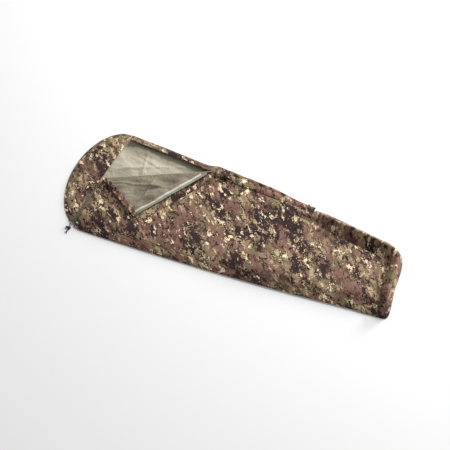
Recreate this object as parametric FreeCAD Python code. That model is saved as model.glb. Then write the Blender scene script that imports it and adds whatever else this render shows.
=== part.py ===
"""Bivy sack lying flat on the ground, its zipped corner folded back.

Millimetres.  +X runs from the head to the foot, +Y towards the zipped side, +Z up.
The origin is on the ground under the middle of the sack.  Every sewn panel, tape, zip
part and cord is its own solid, written to parts/NODE.step.

The zipped corner is built closed, in the plane that it zips shut in, and is then turned
about the fold line to where it lies folded back.
"""
import FreeCAD
import Part
import math
import os

V = FreeCAD.Vector

# ---- driving dimensions, mm ------------------------------------------------------
LENGTH = 2300.0              # head to foot
SHOULDER_HALF = 405.0        # half width at the shoulders, the widest place
SHOULDER_X = -895.0
FOOT_BEND_X = 960.0          # where the side turns into the rounded foot
FOOT_BEND_HALF = 258.0
SIDE_TAPER = 61.4            # of the narrowing from shoulder to foot, the even part
FOOT_SQUARENESS = 3.0        # power of the foot's rounded outline, 2 would be an ellipse

FLOOR_T = 2.0                # bottom panel, laminate and lining
SHEET_T = 1.6                # other panels
TAPE_T = 0.5                 # taped seams
SEAM_Z = FLOOR_T + SHEET_T   # upper face of a panel where it is sewn to the bottom panel

FOLD_A = (-918.0, -22.0)     # fold line, at the face opening
FOLD_C = (-262.0, 312.0)     # fold line, at the zip
ZIP_HEAD = (-885.0, 345.0)   # head end of the zip
ZIP_FOOT = (465.0, 296.0)    # foot end of the zip
FOLD_Z = 54.0                # height of the fold line's axis
FOLD_OFFSET = 8.0            # from the fold axis to the middle of the folded sheet
CLOSED_TILT = 3.0            # degrees that the closed corner slopes down to the side
ZIP_RISE = 4.0               # from the fold line to the zip's foot end
ZIP_END_ROW = ZIP_FOOT[0] + 2
FOLD_CORNER = 34.0           # the fold line meets the zip tape's edge this far from its end

PANEL_Z = FOLD_Z - FOLD_OFFSET + SHEET_T / 2   # upper face of the flat part of the top panel
BODY_RISE = 17.0             # the legs' part stands this much higher
RISE_START = -150.0          # from here the top panel rises towards the foot,
RISE_LENGTH = 500.0          # over this length
RIM_RISE = 34.0              # and the rim round the foot this much more
NEAR_SLOPE = 150.0           # width of the sloping near side
FAR_SLOPE = 60.0
ZIP_SLOPE = 60.0             # the top panel comes down this far from the zip tape
FOOT_STRETCH = 1.2           # the rim runs this much steeper across the end of the foot
RIM_INSET = 34.0             # the rim's crest, from the seam
RIM_WIDTH = 24.0

HOOD_FACE_Z = 44.0           # height of the middle of the hood's face edge
HOOD_GAP = 14.0              # between the hood's edge and the top panel's, at the fold
FACE_SLANT = 0.09            # the face opening is not quite square to the sack
HEM_W = 30.0
HEM_T = 1.2
TUNNEL_W = 22.0
TUNNEL_ROOM = 4.6            # height inside the drawcord tunnel

COIL_W = 3.0
COIL_GAP = 1.5               # half the gap between the two open coils
TAPE_EDGE = 16.0             # zip tape, from the zip's middle line to its edge
SEWN_GAP = 0.8               # between the tape's edge and the panel sewn to it
ZIP_TAPE_T = 0.8
SEAM_TAPE_W = 14.0
STORM_RISE = 8.5             # underside of the storm flap above the zip's middle
STORM_T = 1.5
STORM_REACH = 30.0           # past the zip's middle line
STORM_ROOT = 17.5            # its sewn edge, on the top panel's side
STORM_AXIS_RISE = 3.5
STUD_SPOTS = (134.0, 185.0, 239.0, 580.0)      # along the zip from the fold line
CLOSED_STUD_SPOTS = (90.0, 300.0, 510.0, 690.0)

SLIDER_AT = 18.0             # the slider's middle, from the fold line
SLIDER_L = 16.0
SLIDER_HALF_W = 7.0
SLIDER_PLATE_IN = 2.0        # inner faces of its two plates, from the zip's middle
SLIDER_PLATE_T = 1.2
CHAIN_START = 42.0           # where the folded-back side's coil begins
CHAIN_END = 606.0

CORD_D = 3.0
LOCK_R = 8.0
LOCK_L = 21.0
LOCK_AT = (-976.0, -424.0, 8.0)
PLUNGER_R = 5.2
PLUNGER_OUT = 9.0            # how far the button stands out
BUTTON_TRAVEL = 3.0
CORD_SPREAD = 1.9            # each cord leg from the middle of the lock's hole
KNOT_R = 4.6

HEAD_X = -LENGTH / 2
FOOT_X = LENGTH / 2


# ---- outline ---------------------------------------------------------------------
def half_width(x):
    """Half the sack's width at x: elliptical head, bowed side, squarish rounded foot."""
    if x < SHOULDER_X:
        back = (SHOULDER_X - x) / (SHOULDER_X - HEAD_X)
        return SHOULDER_HALF * math.sqrt(max(0.0, 1 - back ** 2))
    if x > FOOT_BEND_X:
        on = (x - FOOT_BEND_X) / (FOOT_X - FOOT_BEND_X)
        return FOOT_BEND_HALF * max(0.0, 1 - on ** FOOT_SQUARENESS) ** (1 / FOOT_SQUARENESS)
    s = (x - SHOULDER_X) / (FOOT_BEND_X - SHOULDER_X)
    bow = SHOULDER_HALF - FOOT_BEND_HALF - SIDE_TAPER
    return SHOULDER_HALF - SIDE_TAPER * s - bow * s * s


def outline_side():
    """(x, half width) from the head's tip to the foot's tip."""
    points = []
    for i in range(13):
        turn = math.radians(7.5 * i)
        x = SHOULDER_X - (SHOULDER_X - HEAD_X) * math.cos(turn)
        points.append((x, SHOULDER_HALF * math.sin(turn)))
    for i in range(1, 12):
        x = SHOULDER_X + (FOOT_BEND_X - SHOULDER_X) * i / 12
        points.append((x, half_width(x)))
    for i in range(11):
        turn = math.radians(9 * i)
        power = 2 / FOOT_SQUARENESS
        x = FOOT_BEND_X + (FOOT_X - FOOT_BEND_X) * math.sin(turn) ** power
        points.append((x, FOOT_BEND_HALF * max(0.0, math.cos(turn)) ** power))
    return points


def outline_ring():
    """The whole outline as points, both sides alike."""
    side = outline_side()
    near = [(x, -y) for x, y in reversed(side[1:-1])]
    return side + near


# ---- sheets ----------------------------------------------------------------------
def triangle(a, b, c):
    return Part.Face(Part.makePolygon([a, b, c, a]))


def sheet_solid(rows, thickness):
    """A thin solid under a grid of points: the grid is its upper face."""
    drop = V(0, 0, -thickness)
    low = [[p + drop for p in row] for row in rows]
    faces = []
    last_row = len(rows) - 1
    last_col = len(rows[0]) - 1
    for i in range(last_row):
        for j in range(last_col):
            for grid in (rows, low):
                faces.append(triangle(grid[i][j], grid[i + 1][j], grid[i + 1][j + 1]))
                faces.append(triangle(grid[i][j], grid[i + 1][j + 1], grid[i][j + 1]))
    border = [(0, j) for j in range(last_col)]
    border += [(i, last_col) for i in range(last_row)]
    border += [(last_row, j) for j in range(last_col, 0, -1)]
    border += [(i, 0) for i in range(last_row, 0, -1)]
    for (i, j), (k, m) in zip(border, border[1:] + border[:1]):
        faces.append(triangle(rows[i][j], rows[k][m], low[k][m]))
        faces.append(triangle(rows[i][j], low[k][m], low[i][j]))
    solid = Part.Solid(Part.makeShell(faces))
    if solid.Volume < 0:
        solid.reverse()
    return solid


def plate(points, low, high):
    """A flat plate over a closed outline of (x, y) points."""
    corners = [V(x, y, low) for x, y in points]
    face = Part.Face(Part.makePolygon(corners + corners[:1]))
    return face.extrude(V(0, 0, high - low))


def mix(a, b, share):
    return a + (b - a) * share


def rising(share):
    """0 to 1 over a share of 0 to 1, steep at first, like a slope of taut cloth."""
    return math.sin(math.pi / 2 * max(0.0, min(1.0, share)))


def beside_zip(x):
    """Where the top panel ends at the zip tape: y and height."""
    share = (x - FOLD_C[0]) / (ZIP_FOOT[0] - FOLD_C[0])
    return mix(FOLD_C[1], ZIP_FOOT[1], share) - TAPE_EDGE - SEWN_GAP, PANEL_Z + ZIP_RISE * share


def top_height(x, y):
    """Upper face of the top panel over the plan position."""
    body = PANEL_Z + BODY_RISE * rising((x - RISE_START) / RISE_LENGTH)
    near = half_width(x) + y
    height = mix(SEAM_Z, body, rising(near / NEAR_SLOPE))
    if x < FOLD_C[0]:
        return height
    if x <= ZIP_END_ROW:
        tape_y, tape_z = beside_zip(x)
        return mix(tape_z, height, rising((tape_y - y) / ZIP_SLOPE))
    edge = min(half_width(x) - y, (FOOT_X - x) * FOOT_STRETCH)
    height = mix(SEAM_Z, height, rising(edge / FAR_SLOPE))
    growth = rising((x - ZIP_FOOT[0]) / RISE_LENGTH)
    crest = math.exp(-((edge - RIM_INSET) / RIM_WIDTH) ** 2)
    return height + RIM_RISE * growth * crest * rising(near / NEAR_SLOPE)


# ---- places that several pieces share ---------------------------------------------
def unit(v):
    return v * (1 / v.Length)


def frame_at(origin, along, up):
    """Placement whose X runs along and whose Z is as near to up as can be."""
    x = unit(along)
    y = unit(up.cross(x))
    return FreeCAD.Placement(origin, FreeCAD.Rotation(x, y, x.cross(y), "XYZ"))


def fold_frame():
    """X along the fold axis, Y over the closed corner, Z out of its camouflage face."""
    start = V(FOLD_A[0], FOLD_A[1], FOLD_Z)
    end = V(FOLD_C[0], FOLD_C[1], FOLD_Z)
    level = frame_at(start, end - start, V(0, 0, 1))
    tilt = FreeCAD.Placement(V(0, 0, 0), FreeCAD.Rotation(V(1, 0, 0), -CLOSED_TILT))
    return level.multiply(tilt)


FOLD = fold_frame()
FOLD_INVERSE = FOLD.inverse()
FOLD_LENGTH = math.dist(FOLD_A, FOLD_C)


def fold_plan(x, y):
    """(along, across) in the closed corner's plane of a plan position."""
    flat = FOLD_INVERSE.multVec(V(x, y, FOLD_Z))
    return flat.x, flat.y / math.cos(math.radians(CLOSED_TILT)) ** 2


def on_sheet(along, across, rise=0.0):
    """Point of the closed corner's plane, rise above the middle of the sheet."""
    return FOLD.multVec(V(along, across, rise - FOLD_OFFSET))


HEAD_ALONG, HEAD_ACROSS = fold_plan(*ZIP_HEAD)
ZIP_START = on_sheet(FOLD_LENGTH, 0)
ZIP_TOP = on_sheet(HEAD_ALONG, HEAD_ACROSS)
OUT_OF_SHEET = FOLD.Rotation.multVec(V(0, 0, 1))
OPEN_ZIP = frame_at(ZIP_START, ZIP_TOP - ZIP_START, OUT_OF_SHEET)
OPEN_LENGTH = (ZIP_TOP - ZIP_START).Length
ZIP_END = V(ZIP_FOOT[0], ZIP_FOOT[1], ZIP_START.z + ZIP_RISE)
CLOSED_ZIP = frame_at(ZIP_START, ZIP_END - ZIP_START, V(0, 0, 1))
CLOSED_LENGTH = (ZIP_END - ZIP_START).Length
FOLDED_BACK = 180.0 + CLOSED_TILT
STORM_BACK_OUT = -(STORM_ROOT + STORM_T)


def bar(frame, along, across, rise):
    """Box from ranges along, across and above a zip's middle line."""
    size = [high - low for low, high in (along, across, rise)]
    box = Part.makeBox(*size, V(along[0], across[0], rise[0]))
    box.Placement = frame.multiply(box.Placement)
    return box


def disc(frame, along, across, low, high, radius):
    made = Part.makeCylinder(radius, high - low, V(along, across, low))
    made.Placement = frame.multiply(made.Placement)
    return made


def fold_back(shape):
    """Turn a piece of the closed corner about the fold axis to where it lies open."""
    turned = shape.copy()
    axis = FOLD.Rotation.multVec(V(1, 0, 0))
    turned.rotate(FOLD.Base, axis, FOLDED_BACK)
    return turned


# ---- panels ----------------------------------------------------------------------
def bottom_panel():
    return plate(outline_ring(), 0, FLOOR_T)


def face_x(y, gap):
    """The face opening's line: gap 0 is the top panel's edge."""
    return FOLD_A[0] + FACE_SLANT * (y - FOLD_A[1]) - gap


def across_rows(near, far, insets, spare):
    """Plan points from near to far: some at fixed distances, the rest even."""
    run = far - near
    shares = [inset / run.Length for inset in insets]
    last = shares[-1]
    shares += [mix(last, 1.0, (i + 1) / spare) for i in range(spare)]
    return [near + run * share for share in shares]


NEAR_INSETS = (0.0, 14.0, 40.0, 85.0, 150.0)
FAR_INSETS = (80.0, 34.0, 14.0, 0.0)


def top_panel():
    """From the face opening to the foot; its corner at the zip is cut along the fold."""
    edge = 1.0
    shy = V(FOLD_A[1] - FOLD_C[1], FOLD_C[0] - FOLD_A[0], 0)
    shy = unit(shy) * -edge
    corner = V(*FOLD_A, 0) + shy
    tip = V(*FOLD_C, 0) + shy
    tip = tip - unit(tip - corner) * FOLD_CORNER
    near_head = face_x(-half_width(SHOULDER_X - 50), 0)
    rows = []
    for i in range(6):
        share = i / 5
        near_x = mix(near_head, FOLD_C[0] + 40, share)
        near = V(near_x, -half_width(near_x), 0)
        rows.append(across_rows(near, corner + (tip - corner) * share, NEAR_INSETS, 4))
    for x in (-130, 0, 150, 300, ZIP_END_ROW):
        far_y = beside_zip(x)[0]
        rows.append(across_rows(V(x, -half_width(x), 0), V(x, far_y, 0), NEAR_INSETS, 4))
    for x in (480, 600, 740, 870, 960, 1020, 1065, 1095, 1115, 1130, 1141, 1147):
        width = half_width(x)
        room = min(1.0, width / 230)
        across = [inset * room - width for inset in NEAR_INSETS]
        across += [width - inset * room for inset in FAR_INSETS]
        rows.append([V(x, y, 0) for y in across])
    grid = [[V(p.x, p.y, top_height(p.x, p.y)) for p in row] for row in rows]
    return sheet_solid(grid, SHEET_T)


def hood_height(y):
    """Height of the hood's face edge."""
    share = 1 - (abs(y) / SHOULDER_HALF) ** 2.2
    return mix(SEAM_Z + 5, HOOD_FACE_Z, max(0.0, share))


HOOD_STATIONS = (-372, -350, -300, -225, -150, -75, 0, 75, 150, 225, 300, 350, 382)


def hood_gap(y):
    """The gap between hood and top panel widens towards the near side."""
    return HOOD_GAP + 0.05 * max(0.0, FOLD_A[1] - y)


def hood_panel():
    rows = []
    for y in HOOD_STATIONS:
        front = face_x(y, hood_gap(y))
        depth = SHOULDER_X - HEAD_X
        back = SHOULDER_X - depth * math.sqrt(1 - (y / SHOULDER_HALF) ** 2)
        row = []
        for share in (0, 0.08, 0.25, 0.5, 0.75, 1):
            height = mix(SEAM_Z, hood_height(y), rising(share * 1.15))
            row.append(V(mix(back, front, share), y, height))
        rows.append(row)
    return sheet_solid(rows, SHEET_T)


def side_strip():
    """Fixed strip on the zipped side, from the seam up to the zip's outer tape edge."""
    rows = []
    for i in range(13):
        along = OPEN_LENGTH - (OPEN_LENGTH - 6) * i / 12
        inner = OPEN_ZIP.multVec(V(along, -TAPE_EDGE, SHEET_T / 2))
        level = OPEN_ZIP.multVec(V(along, -TAPE_EDGE - 12, SHEET_T / 2))
        rows.append((inner, level))
    for i in range(13):
        along = 12 + (CLOSED_LENGTH - 12) * i / 12
        inner = CLOSED_ZIP.multVec(V(along, TAPE_EDGE, SHEET_T / 2))
        level = CLOSED_ZIP.multVec(V(along, TAPE_EDGE + min(12, 12 - along * 0.012), SHEET_T / 2))
        rows.append((inner, level))
    grid = []
    for inner, level in rows:
        seam_y = half_width(inner.x)
        middle_y = mix(level.y, seam_y, 0.6)
        middle = V(level.x, middle_y, mix(level.z, SEAM_Z, 0.4))
        grid.append([inner, level, middle, V(level.x, seam_y, SEAM_Z)])
    return sheet_solid(grid, SHEET_T)


# ---- edges and tapes ---------------------------------------------------------------
def top_panel_hem():
    """The hem that is turned under, from the near seam to the fold line."""
    points = []
    for y in (-350, -310, -250, -200, -150, -90, -30):
        x = face_x(y, -2)
        points.append(V(x, y, 0))
    rows = []
    for p in points:
        inner = V(p.x + HEM_W, p.y, 0)
        low = min(top_height(p.x, p.y), top_height(inner.x, inner.y)) - SHEET_T - 1.0
        rows.append([V(p.x, p.y, low), V(inner.x, inner.y, low)])
    return sheet_solid(rows, HEM_T)


def tunnel_rows(drop):
    rows = []
    for y in HOOD_STATIONS[1:-1]:
        front = face_x(y, hood_gap(y))
        rows.append(V(front, y, hood_height(y) - drop))
    return rows


def hood_tunnel():
    """Inner layer of the drawcord tunnel, with the two stitched edges that close it."""
    rows = []
    inner_drop = SHEET_T + TUNNEL_ROOM
    for p in tunnel_rows(inner_drop):
        rows.append([V(p.x - TUNNEL_W, p.y, p.z - 1.6), V(p.x, p.y, p.z)])
    return sheet_solid(rows, HEM_T)


def drawcord_in_tunnel():
    middle = SHEET_T + TUNNEL_ROOM / 2 + 0.4
    route = [V(p.x - TUNNEL_W / 2, p.y, p.z) for p in tunnel_rows(middle)]
    return cord_tube("drawcord_in_tunnel", route[1:])


def seam_tape(x_low, x_high, side):
    """Taped seam on the inside of the bottom panel along one side's edge."""
    outer = 14.0
    inner = outer + SEAM_TAPE_W
    span = [(x, y) for x, y in outline_side() if x_low <= x <= x_high]
    span = [(x, y) for x, y in span if y > inner + 10]
    shape = [(x, side * (y - outer)) for x, y in span]
    shape += [(x, side * (y - inner)) for x, y in reversed(span)]
    return plate(shape, FLOOR_T, FLOOR_T + TAPE_T)


# ---- zip -------------------------------------------------------------------------
COIL_IN = COIL_GAP
COIL_OUT = COIL_GAP + COIL_W
HALF_COIL = COIL_W / 2
HALF_TAPE = ZIP_TAPE_T / 2


def coil(frame, start, end, inner, outer):
    """Outer shape of one zip coil, between two distances across the zip."""
    across = sorted((inner, outer))
    return bar(frame, (start, end), across, (-HALF_COIL, HALF_COIL))


def fixed_zip_coil():
    return coil(OPEN_ZIP, 0, CHAIN_END, -COIL_IN, -COIL_OUT)


def fixed_zip_tape():
    open_part = bar(OPEN_ZIP, (0, OPEN_LENGTH), (-TAPE_EDGE, -COIL_OUT), (-HALF_TAPE, HALF_TAPE))
    closed_part = bar(CLOSED_ZIP, (2, CLOSED_LENGTH), (COIL_W, TAPE_EDGE), (-HALF_TAPE, HALF_TAPE))
    return Part.makeCompound([open_part, closed_part])


def panel_zip_tape():
    return bar(CLOSED_ZIP, (2, CLOSED_LENGTH), (-TAPE_EDGE, -COIL_W), (-HALF_TAPE, HALF_TAPE))


def meshed_zip_coil():
    return bar(CLOSED_ZIP, (2, CLOSED_LENGTH - 12), (-COIL_W, COIL_W), (-HALF_COIL, HALF_COIL))


def zip_bottom_stop():
    return bar(CLOSED_ZIP, (CLOSED_LENGTH - 12, CLOSED_LENGTH - 4), (-COIL_W, COIL_W), (-2, 2))


def zip_top_stop():
    return bar(OPEN_ZIP, (CHAIN_END, CHAIN_END + 6), (-COIL_OUT, -COIL_IN), (-1.8, 1.8))


def flap_zip_coil():
    return fold_back(coil(OPEN_ZIP, CHAIN_START, CHAIN_END, COIL_IN, COIL_OUT))


def flap_top_stop():
    return fold_back(bar(OPEN_ZIP, (CHAIN_END, CHAIN_END + 6), (COIL_IN, COIL_OUT), (-1.8, 1.8)))


def flap_zip_tape():
    across = (COIL_OUT, TAPE_EDGE)
    return fold_back(bar(OPEN_ZIP, (CHAIN_START - 6, OPEN_LENGTH - 8), across, (-HALF_TAPE, HALF_TAPE)))


def stud(frame, along, across):
    """Stud half of a press fastener, standing on the fixed strip."""
    base = disc(frame, along, across, SHEET_T / 2, SHEET_T / 2 + 1.0, 6.0)
    post = disc(frame, along, across, SHEET_T / 2 + 1.0, SHEET_T / 2 + 3.6, 2.4)
    return base.fuse(post)


def press_studs():
    """The studs stand on the level edge of the fixed strip, beside the zip."""
    across = TAPE_EDGE + 6.5
    made = [stud(OPEN_ZIP, spot, -across) for spot in STUD_SPOTS]
    made += [stud(CLOSED_ZIP, spot, across - 1.5) for spot in CLOSED_STUD_SPOTS]
    return Part.makeCompound(made)


def cap(frame, along, across):
    """Cap half of a press fastener, through the storm flap, with its socket below."""
    low = STORM_RISE - 1.6
    outer = disc(frame, along, across, low, STORM_RISE, 4.6)
    bore = disc(frame, along, across, low - 1, STORM_RISE - 0.4, 2.8)
    top = disc(frame, along, across, STORM_RISE + STORM_T, STORM_RISE + STORM_T + 1.2, 5.8)
    return [outer.cut(bore), top]


# ---- the folded-back corner --------------------------------------------------------
def meet(p, d, q, e):
    """Where the plan line through p along d meets the one through q along e."""
    cross = d[0] * e[1] - d[1] * e[0]
    share = ((q[0] - p[0]) * e[1] - (q[1] - p[1]) * e[0]) / cross
    return (p[0] + d[0] * share, p[1] + d[1] * share)


def corner_plan(from_fold, from_hem, from_zip):
    """The corner's triangle in its own plane, pulled in from its three edges."""
    a = (0.0, 0.0)
    b = (HEAD_ALONG, HEAD_ACROSS)
    c = (FOLD_LENGTH, 0.0)
    hem_length = math.dist(a, b)
    hem = ((b[0] - a[0]) / hem_length, (b[1] - a[1]) / hem_length)
    hem_from = (a[0] + hem[1] * from_hem, a[1] - hem[0] * from_hem)
    zip_length = math.dist(b, c)
    run = ((c[0] - b[0]) / zip_length, (c[1] - b[1]) / zip_length)
    zip_from = (b[0] + run[1] * from_zip, b[1] - run[0] * from_zip)
    fold_from = (0.0, from_fold)
    fold = (1.0, 0.0)
    return [
        meet(fold_from, fold, hem_from, hem),
        meet(fold_from, fold, zip_from, run),
        meet(hem_from, hem, zip_from, run),
    ]


def corner_plate(points, low, high):
    made = plate(points, low - FOLD_OFFSET, high - FOLD_OFFSET)
    made.Placement = FOLD.multiply(made.Placement)
    return fold_back(made)


def flap_panel():
    half = SHEET_T / 2
    return corner_plate(corner_plan(1.0, 0, TAPE_EDGE), -half, half)


def flap_hem():
    """Hem turned in along the corner's face edge; it shows on the lining side."""
    outer = corner_plan(3.0, 0.5, TAPE_EDGE + SEAM_TAPE_W + 2)
    inner = corner_plan(3.0, HEM_W, TAPE_EDGE + SEAM_TAPE_W + 2)
    half = SHEET_T / 2
    return corner_plate([outer[0], inner[0], inner[2], outer[2]], -half - HEM_T, -half)


def flap_seam_tape():
    """White tape over the seam between the lining and the zip tape."""
    half = SHEET_T / 2
    outer = corner_plan(24.0, 2.0, TAPE_EDGE + 1)
    inner = corner_plan(24.0, 2.0, TAPE_EDGE + 1 + SEAM_TAPE_W)
    return corner_plate([outer[1], inner[1], inner[2], outer[2]], -half - TAPE_T, -half)


def storm_section(frame, start, end, web_low, side):
    """Storm flap: a sewn web beside the zip and a strip that reaches over it."""
    root = (STORM_ROOT, STORM_ROOT + STORM_T)
    cover = (-STORM_REACH, STORM_ROOT + STORM_T)
    if side < 0:
        root = (-root[1], -root[0])
        cover = (-cover[1], -cover[0])
    web = bar(frame, (start, end), root, (web_low, STORM_RISE))
    strip = bar(frame, (start, end), cover, (STORM_RISE, STORM_RISE + STORM_T))
    return web.fuse(strip).removeSplitter()


def flap_storm_flap():
    return fold_back(storm_section(OPEN_ZIP, CHAIN_START, OPEN_LENGTH - 14, SHEET_T / 2, 1))


def flap_stud_caps():
    made = []
    for spot in STUD_SPOTS:
        made += cap(OPEN_ZIP, spot, -(TAPE_EDGE + 6.5))
    return fold_back(Part.makeCompound(made))


# ---- storm flap over the closed part of the zip -------------------------------------
def storm_flap():
    return storm_section(CLOSED_ZIP, 30, CLOSED_LENGTH - 4, STORM_AXIS_RISE - 1, -1)


def storm_stud_caps():
    made = []
    for spot in CLOSED_STUD_SPOTS:
        made += cap(CLOSED_ZIP, spot, TAPE_EDGE + 5.0)
    return Part.makeCompound(made)


def storm_end_tab():
    """Bar-tacked tab that holds the storm flap's foot end down."""
    return bar(CLOSED_ZIP, (CLOSED_LENGTH - 4, CLOSED_LENGTH + 10), (-18, 22), (STORM_RISE, STORM_RISE + 2))


# ---- slider and pulls --------------------------------------------------------------
def slider_body():
    """Two plates joined by a post that parts the coils, with flanges round the tapes."""
    along = (SLIDER_AT - SLIDER_L / 2, SLIDER_AT + SLIDER_L / 2)
    across = (-SLIDER_HALF_W, SLIDER_HALF_W)
    plate_in = SLIDER_PLATE_IN
    plate_out = plate_in + SLIDER_PLATE_T
    body = bar(OPEN_ZIP, along, across, (plate_in, plate_out))
    pieces = [bar(OPEN_ZIP, along, across, (-plate_out, -plate_in))]
    pieces.append(bar(OPEN_ZIP, (along[1] - 6, along[1]), (-0.9, 0.9), (-plate_in, plate_in)))
    for side in (-1, 1):
        flange = sorted((side * 5.2, side * SLIDER_HALF_W))
        pieces.append(bar(OPEN_ZIP, along, flange, (0.9, plate_in)))
        pieces.append(bar(OPEN_ZIP, along, flange, (-plate_in, -0.9)))
    for side in (1, -1):
        for foot in (SLIDER_AT - 6, SLIDER_AT + 3):
            rise = sorted((side * plate_out, side * (plate_out + 3.4)))
            pieces.append(bar(OPEN_ZIP, (foot, foot + 1.5), (-1.6, 1.6), rise))
        rise = sorted((side * (plate_out + 3.4), side * (plate_out + 4.6)))
        pieces.append(bar(OPEN_ZIP, (SLIDER_AT - 6, SLIDER_AT + 4.5), (-1.6, 1.6), rise))
    return body.multiFuse(pieces).removeSplitter()


PULL_EYE_AT = SLIDER_AT + 1.0
PULL_RISE = SLIDER_PLATE_IN + SLIDER_PLATE_T + 1.8


def pull_shape(length, side, hanging):
    """Zip pull: a frame round the slider's bail and a tab beyond it."""
    frame_l = 16.0
    half_w = 4.5
    thick = 0.8
    frame = Part.makeBox(frame_l, 2 * half_w, 2 * thick, V(-1.5, -half_w, -thick))
    eye = Part.makeBox(frame_l - 4.4, 2 * half_w - 4.4, 4 * thick, V(-0.6, -half_w + 2.2, -2 * thick))
    tab = Part.makeBox(length - frame_l + 2.5, 6, 2 * thick, V(frame_l - 2.5, -3, -thick))
    made = frame.cut(eye).fuse(tab)
    turn = FreeCAD.Rotation(V(0, 1, 0), 90 if hanging else 0)
    made.Placement = FreeCAD.Placement(V(PULL_EYE_AT, 0, side * PULL_RISE), turn)
    made.Placement = OPEN_ZIP.multiply(made.Placement)
    return made


def outer_pull():
    return pull_shape(21, 1, False)


def inner_pull():
    return pull_shape(21, -1, True)


# ---- drawcord end: legs, lock, knot --------------------------------------------------
def cord_tube(name, route):
    """A cord along straight runs and the largest tangent arcs that they allow."""
    edges = []
    radii = []
    at = route[0]
    for before, corner, after in zip(route, route[1:], route[2:]):
        run_in = corner - before
        run_out = after - corner
        turn = run_in.getAngle(run_out)
        cut = 0.45 * min(run_in.Length, run_out.Length)
        radii.append(cut / math.tan(turn / 2))
        start = corner - unit(run_in) * cut
        end = corner + unit(run_out) * cut
        inward = unit(unit(run_out) - unit(run_in))
        depth = radii[-1] * (1 / math.cos(turn / 2) - 1)
        middle = corner + inward * depth
        edges.append(Part.LineSegment(at, start).toShape())
        edges.append(Part.Arc(start, middle, end).toShape())
        at = end
    edges.append(Part.LineSegment(at, route[-1]).toShape())
    path = Part.Wire(edges)
    circle = Part.makeCircle(CORD_D / 2, route[0], route[1] - route[0])
    tube = path.makePipeShell([Part.Wire([circle])], True, True)
    expected = math.pi * CORD_D ** 2 / 4 * path.Length
    print(name, "length %.1f" % path.Length, "volume ratio %.3f" % (tube.Volume / expected))
    print("  radii", [round(r, 1) for r in radii])
    return tube


LEG_X = {"hood": LOCK_AT[0] - CORD_SPREAD, "panel": LOCK_AT[0] + CORD_SPREAD}
HOOD_EYELET = V(-988, -362, 8.8)
PANEL_EYELET = V(-957, -377, 10.0)


def cord_route(name):
    """From an eyelet through the lock and the knot to the cord's cut end."""
    x = LEG_X[name]
    y = LOCK_AT[1]
    z = LOCK_AT[2]
    if name == "hood":
        start = [HOOD_EYELET + V(0, -3, 0), V(-985, -378, 9.6)]
        ends = [V(x, y - 24, z), V(x - 3.5, y - 34, 5.5), V(x - 9, y - 44, 3.0)]
    else:
        start = [PANEL_EYELET + V(0, -3, 0), V(-962, -389, 9.0)]
        ends = [V(x, y - 24, z), V(x - 2.0, y - 35, 4.6), V(x + 2.5, y - 46, 1.9)]
    return start + [V(x, y + 24, z)] + ends


def cord_leg(name):
    return cord_tube("drawcord_leg_" + name, cord_route(name))


def eyelet(centre):
    """Metal eyelet in the hem where a cord leg comes out."""
    outer = Part.makeCylinder(4.0, 1.6, centre + V(0, -0.8, 0), V(0, 1, 0))
    bore = Part.makeCylinder(2.2, 4.0, centre + V(0, -2, 0), V(0, 1, 0))
    return outer.cut(bore)


def cord_knot():
    """Knot that ties both legs together past the lock."""
    centre = V(LOCK_AT[0] - 2.6, LOCK_AT[1] - 31, 5.6)
    ball = Part.makeSphere(KNOT_R, centre)
    collar = Part.makeTorus(KNOT_R - 0.6, 1.4, centre, V(0.3, 1, 0.1))
    return ball.fuse(collar)


def cord_hole(grow, along_x):
    """The lock's slot for the two legs, running along Y."""
    half = CORD_SPREAD + CORD_D / 2 + grow
    tall = CORD_D + 2 * grow
    corner = V(LOCK_AT[0] - half, LOCK_AT[1] - 20, LOCK_AT[2] - tall / 2)
    return Part.makeBox(2 * half + along_x, 40, tall, corner)


def lock_barrel():
    """Barrel of the cord lock, lying on its side, its button end towards the head."""
    x = LOCK_AT[0] - LOCK_L / 2
    y = LOCK_AT[1]
    z = LOCK_AT[2]
    shell = Part.makeCylinder(LOCK_R, LOCK_L, V(x, y, z), V(1, 0, 0))
    bore = Part.makeCylinder(PLUNGER_R + 0.4, LOCK_L - 2, V(x - 1, y, z), V(1, 0, 0))
    ribs = [Part.makeTorus(LOCK_R - 0.2, 0.6, V(x + d, y, z), V(1, 0, 0)) for d in (3, 18)]
    rib_trim = Part.makeBox(LOCK_L, 40, 10, V(x, y - 20, -10))
    made = shell.cut(bore).cut(cord_hole(0.6, 0))
    for rib in ribs:
        made = made.fuse(rib.cut(shell).cut(rib_trim))
    return made


def lock_button():
    """Sprung button whose plunger crosses the barrel and grips the two legs."""
    x = LOCK_AT[0] - LOCK_L / 2
    y = LOCK_AT[1]
    z = LOCK_AT[2]
    plunger = Part.makeCylinder(PLUNGER_R, LOCK_L - 7 + PLUNGER_OUT, V(x - PLUNGER_OUT, y, z), V(1, 0, 0))
    head = Part.makeCylinder(PLUNGER_R + 1.2, 4, V(x - PLUNGER_OUT - 2, y, z), V(1, 0, 0))
    slot = cord_hole(0.5, 0)
    slot = slot.fuse(slot.translated(V(-BUTTON_TRAVEL, 0, 0)))
    return plunger.fuse(head).cut(slot)


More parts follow.
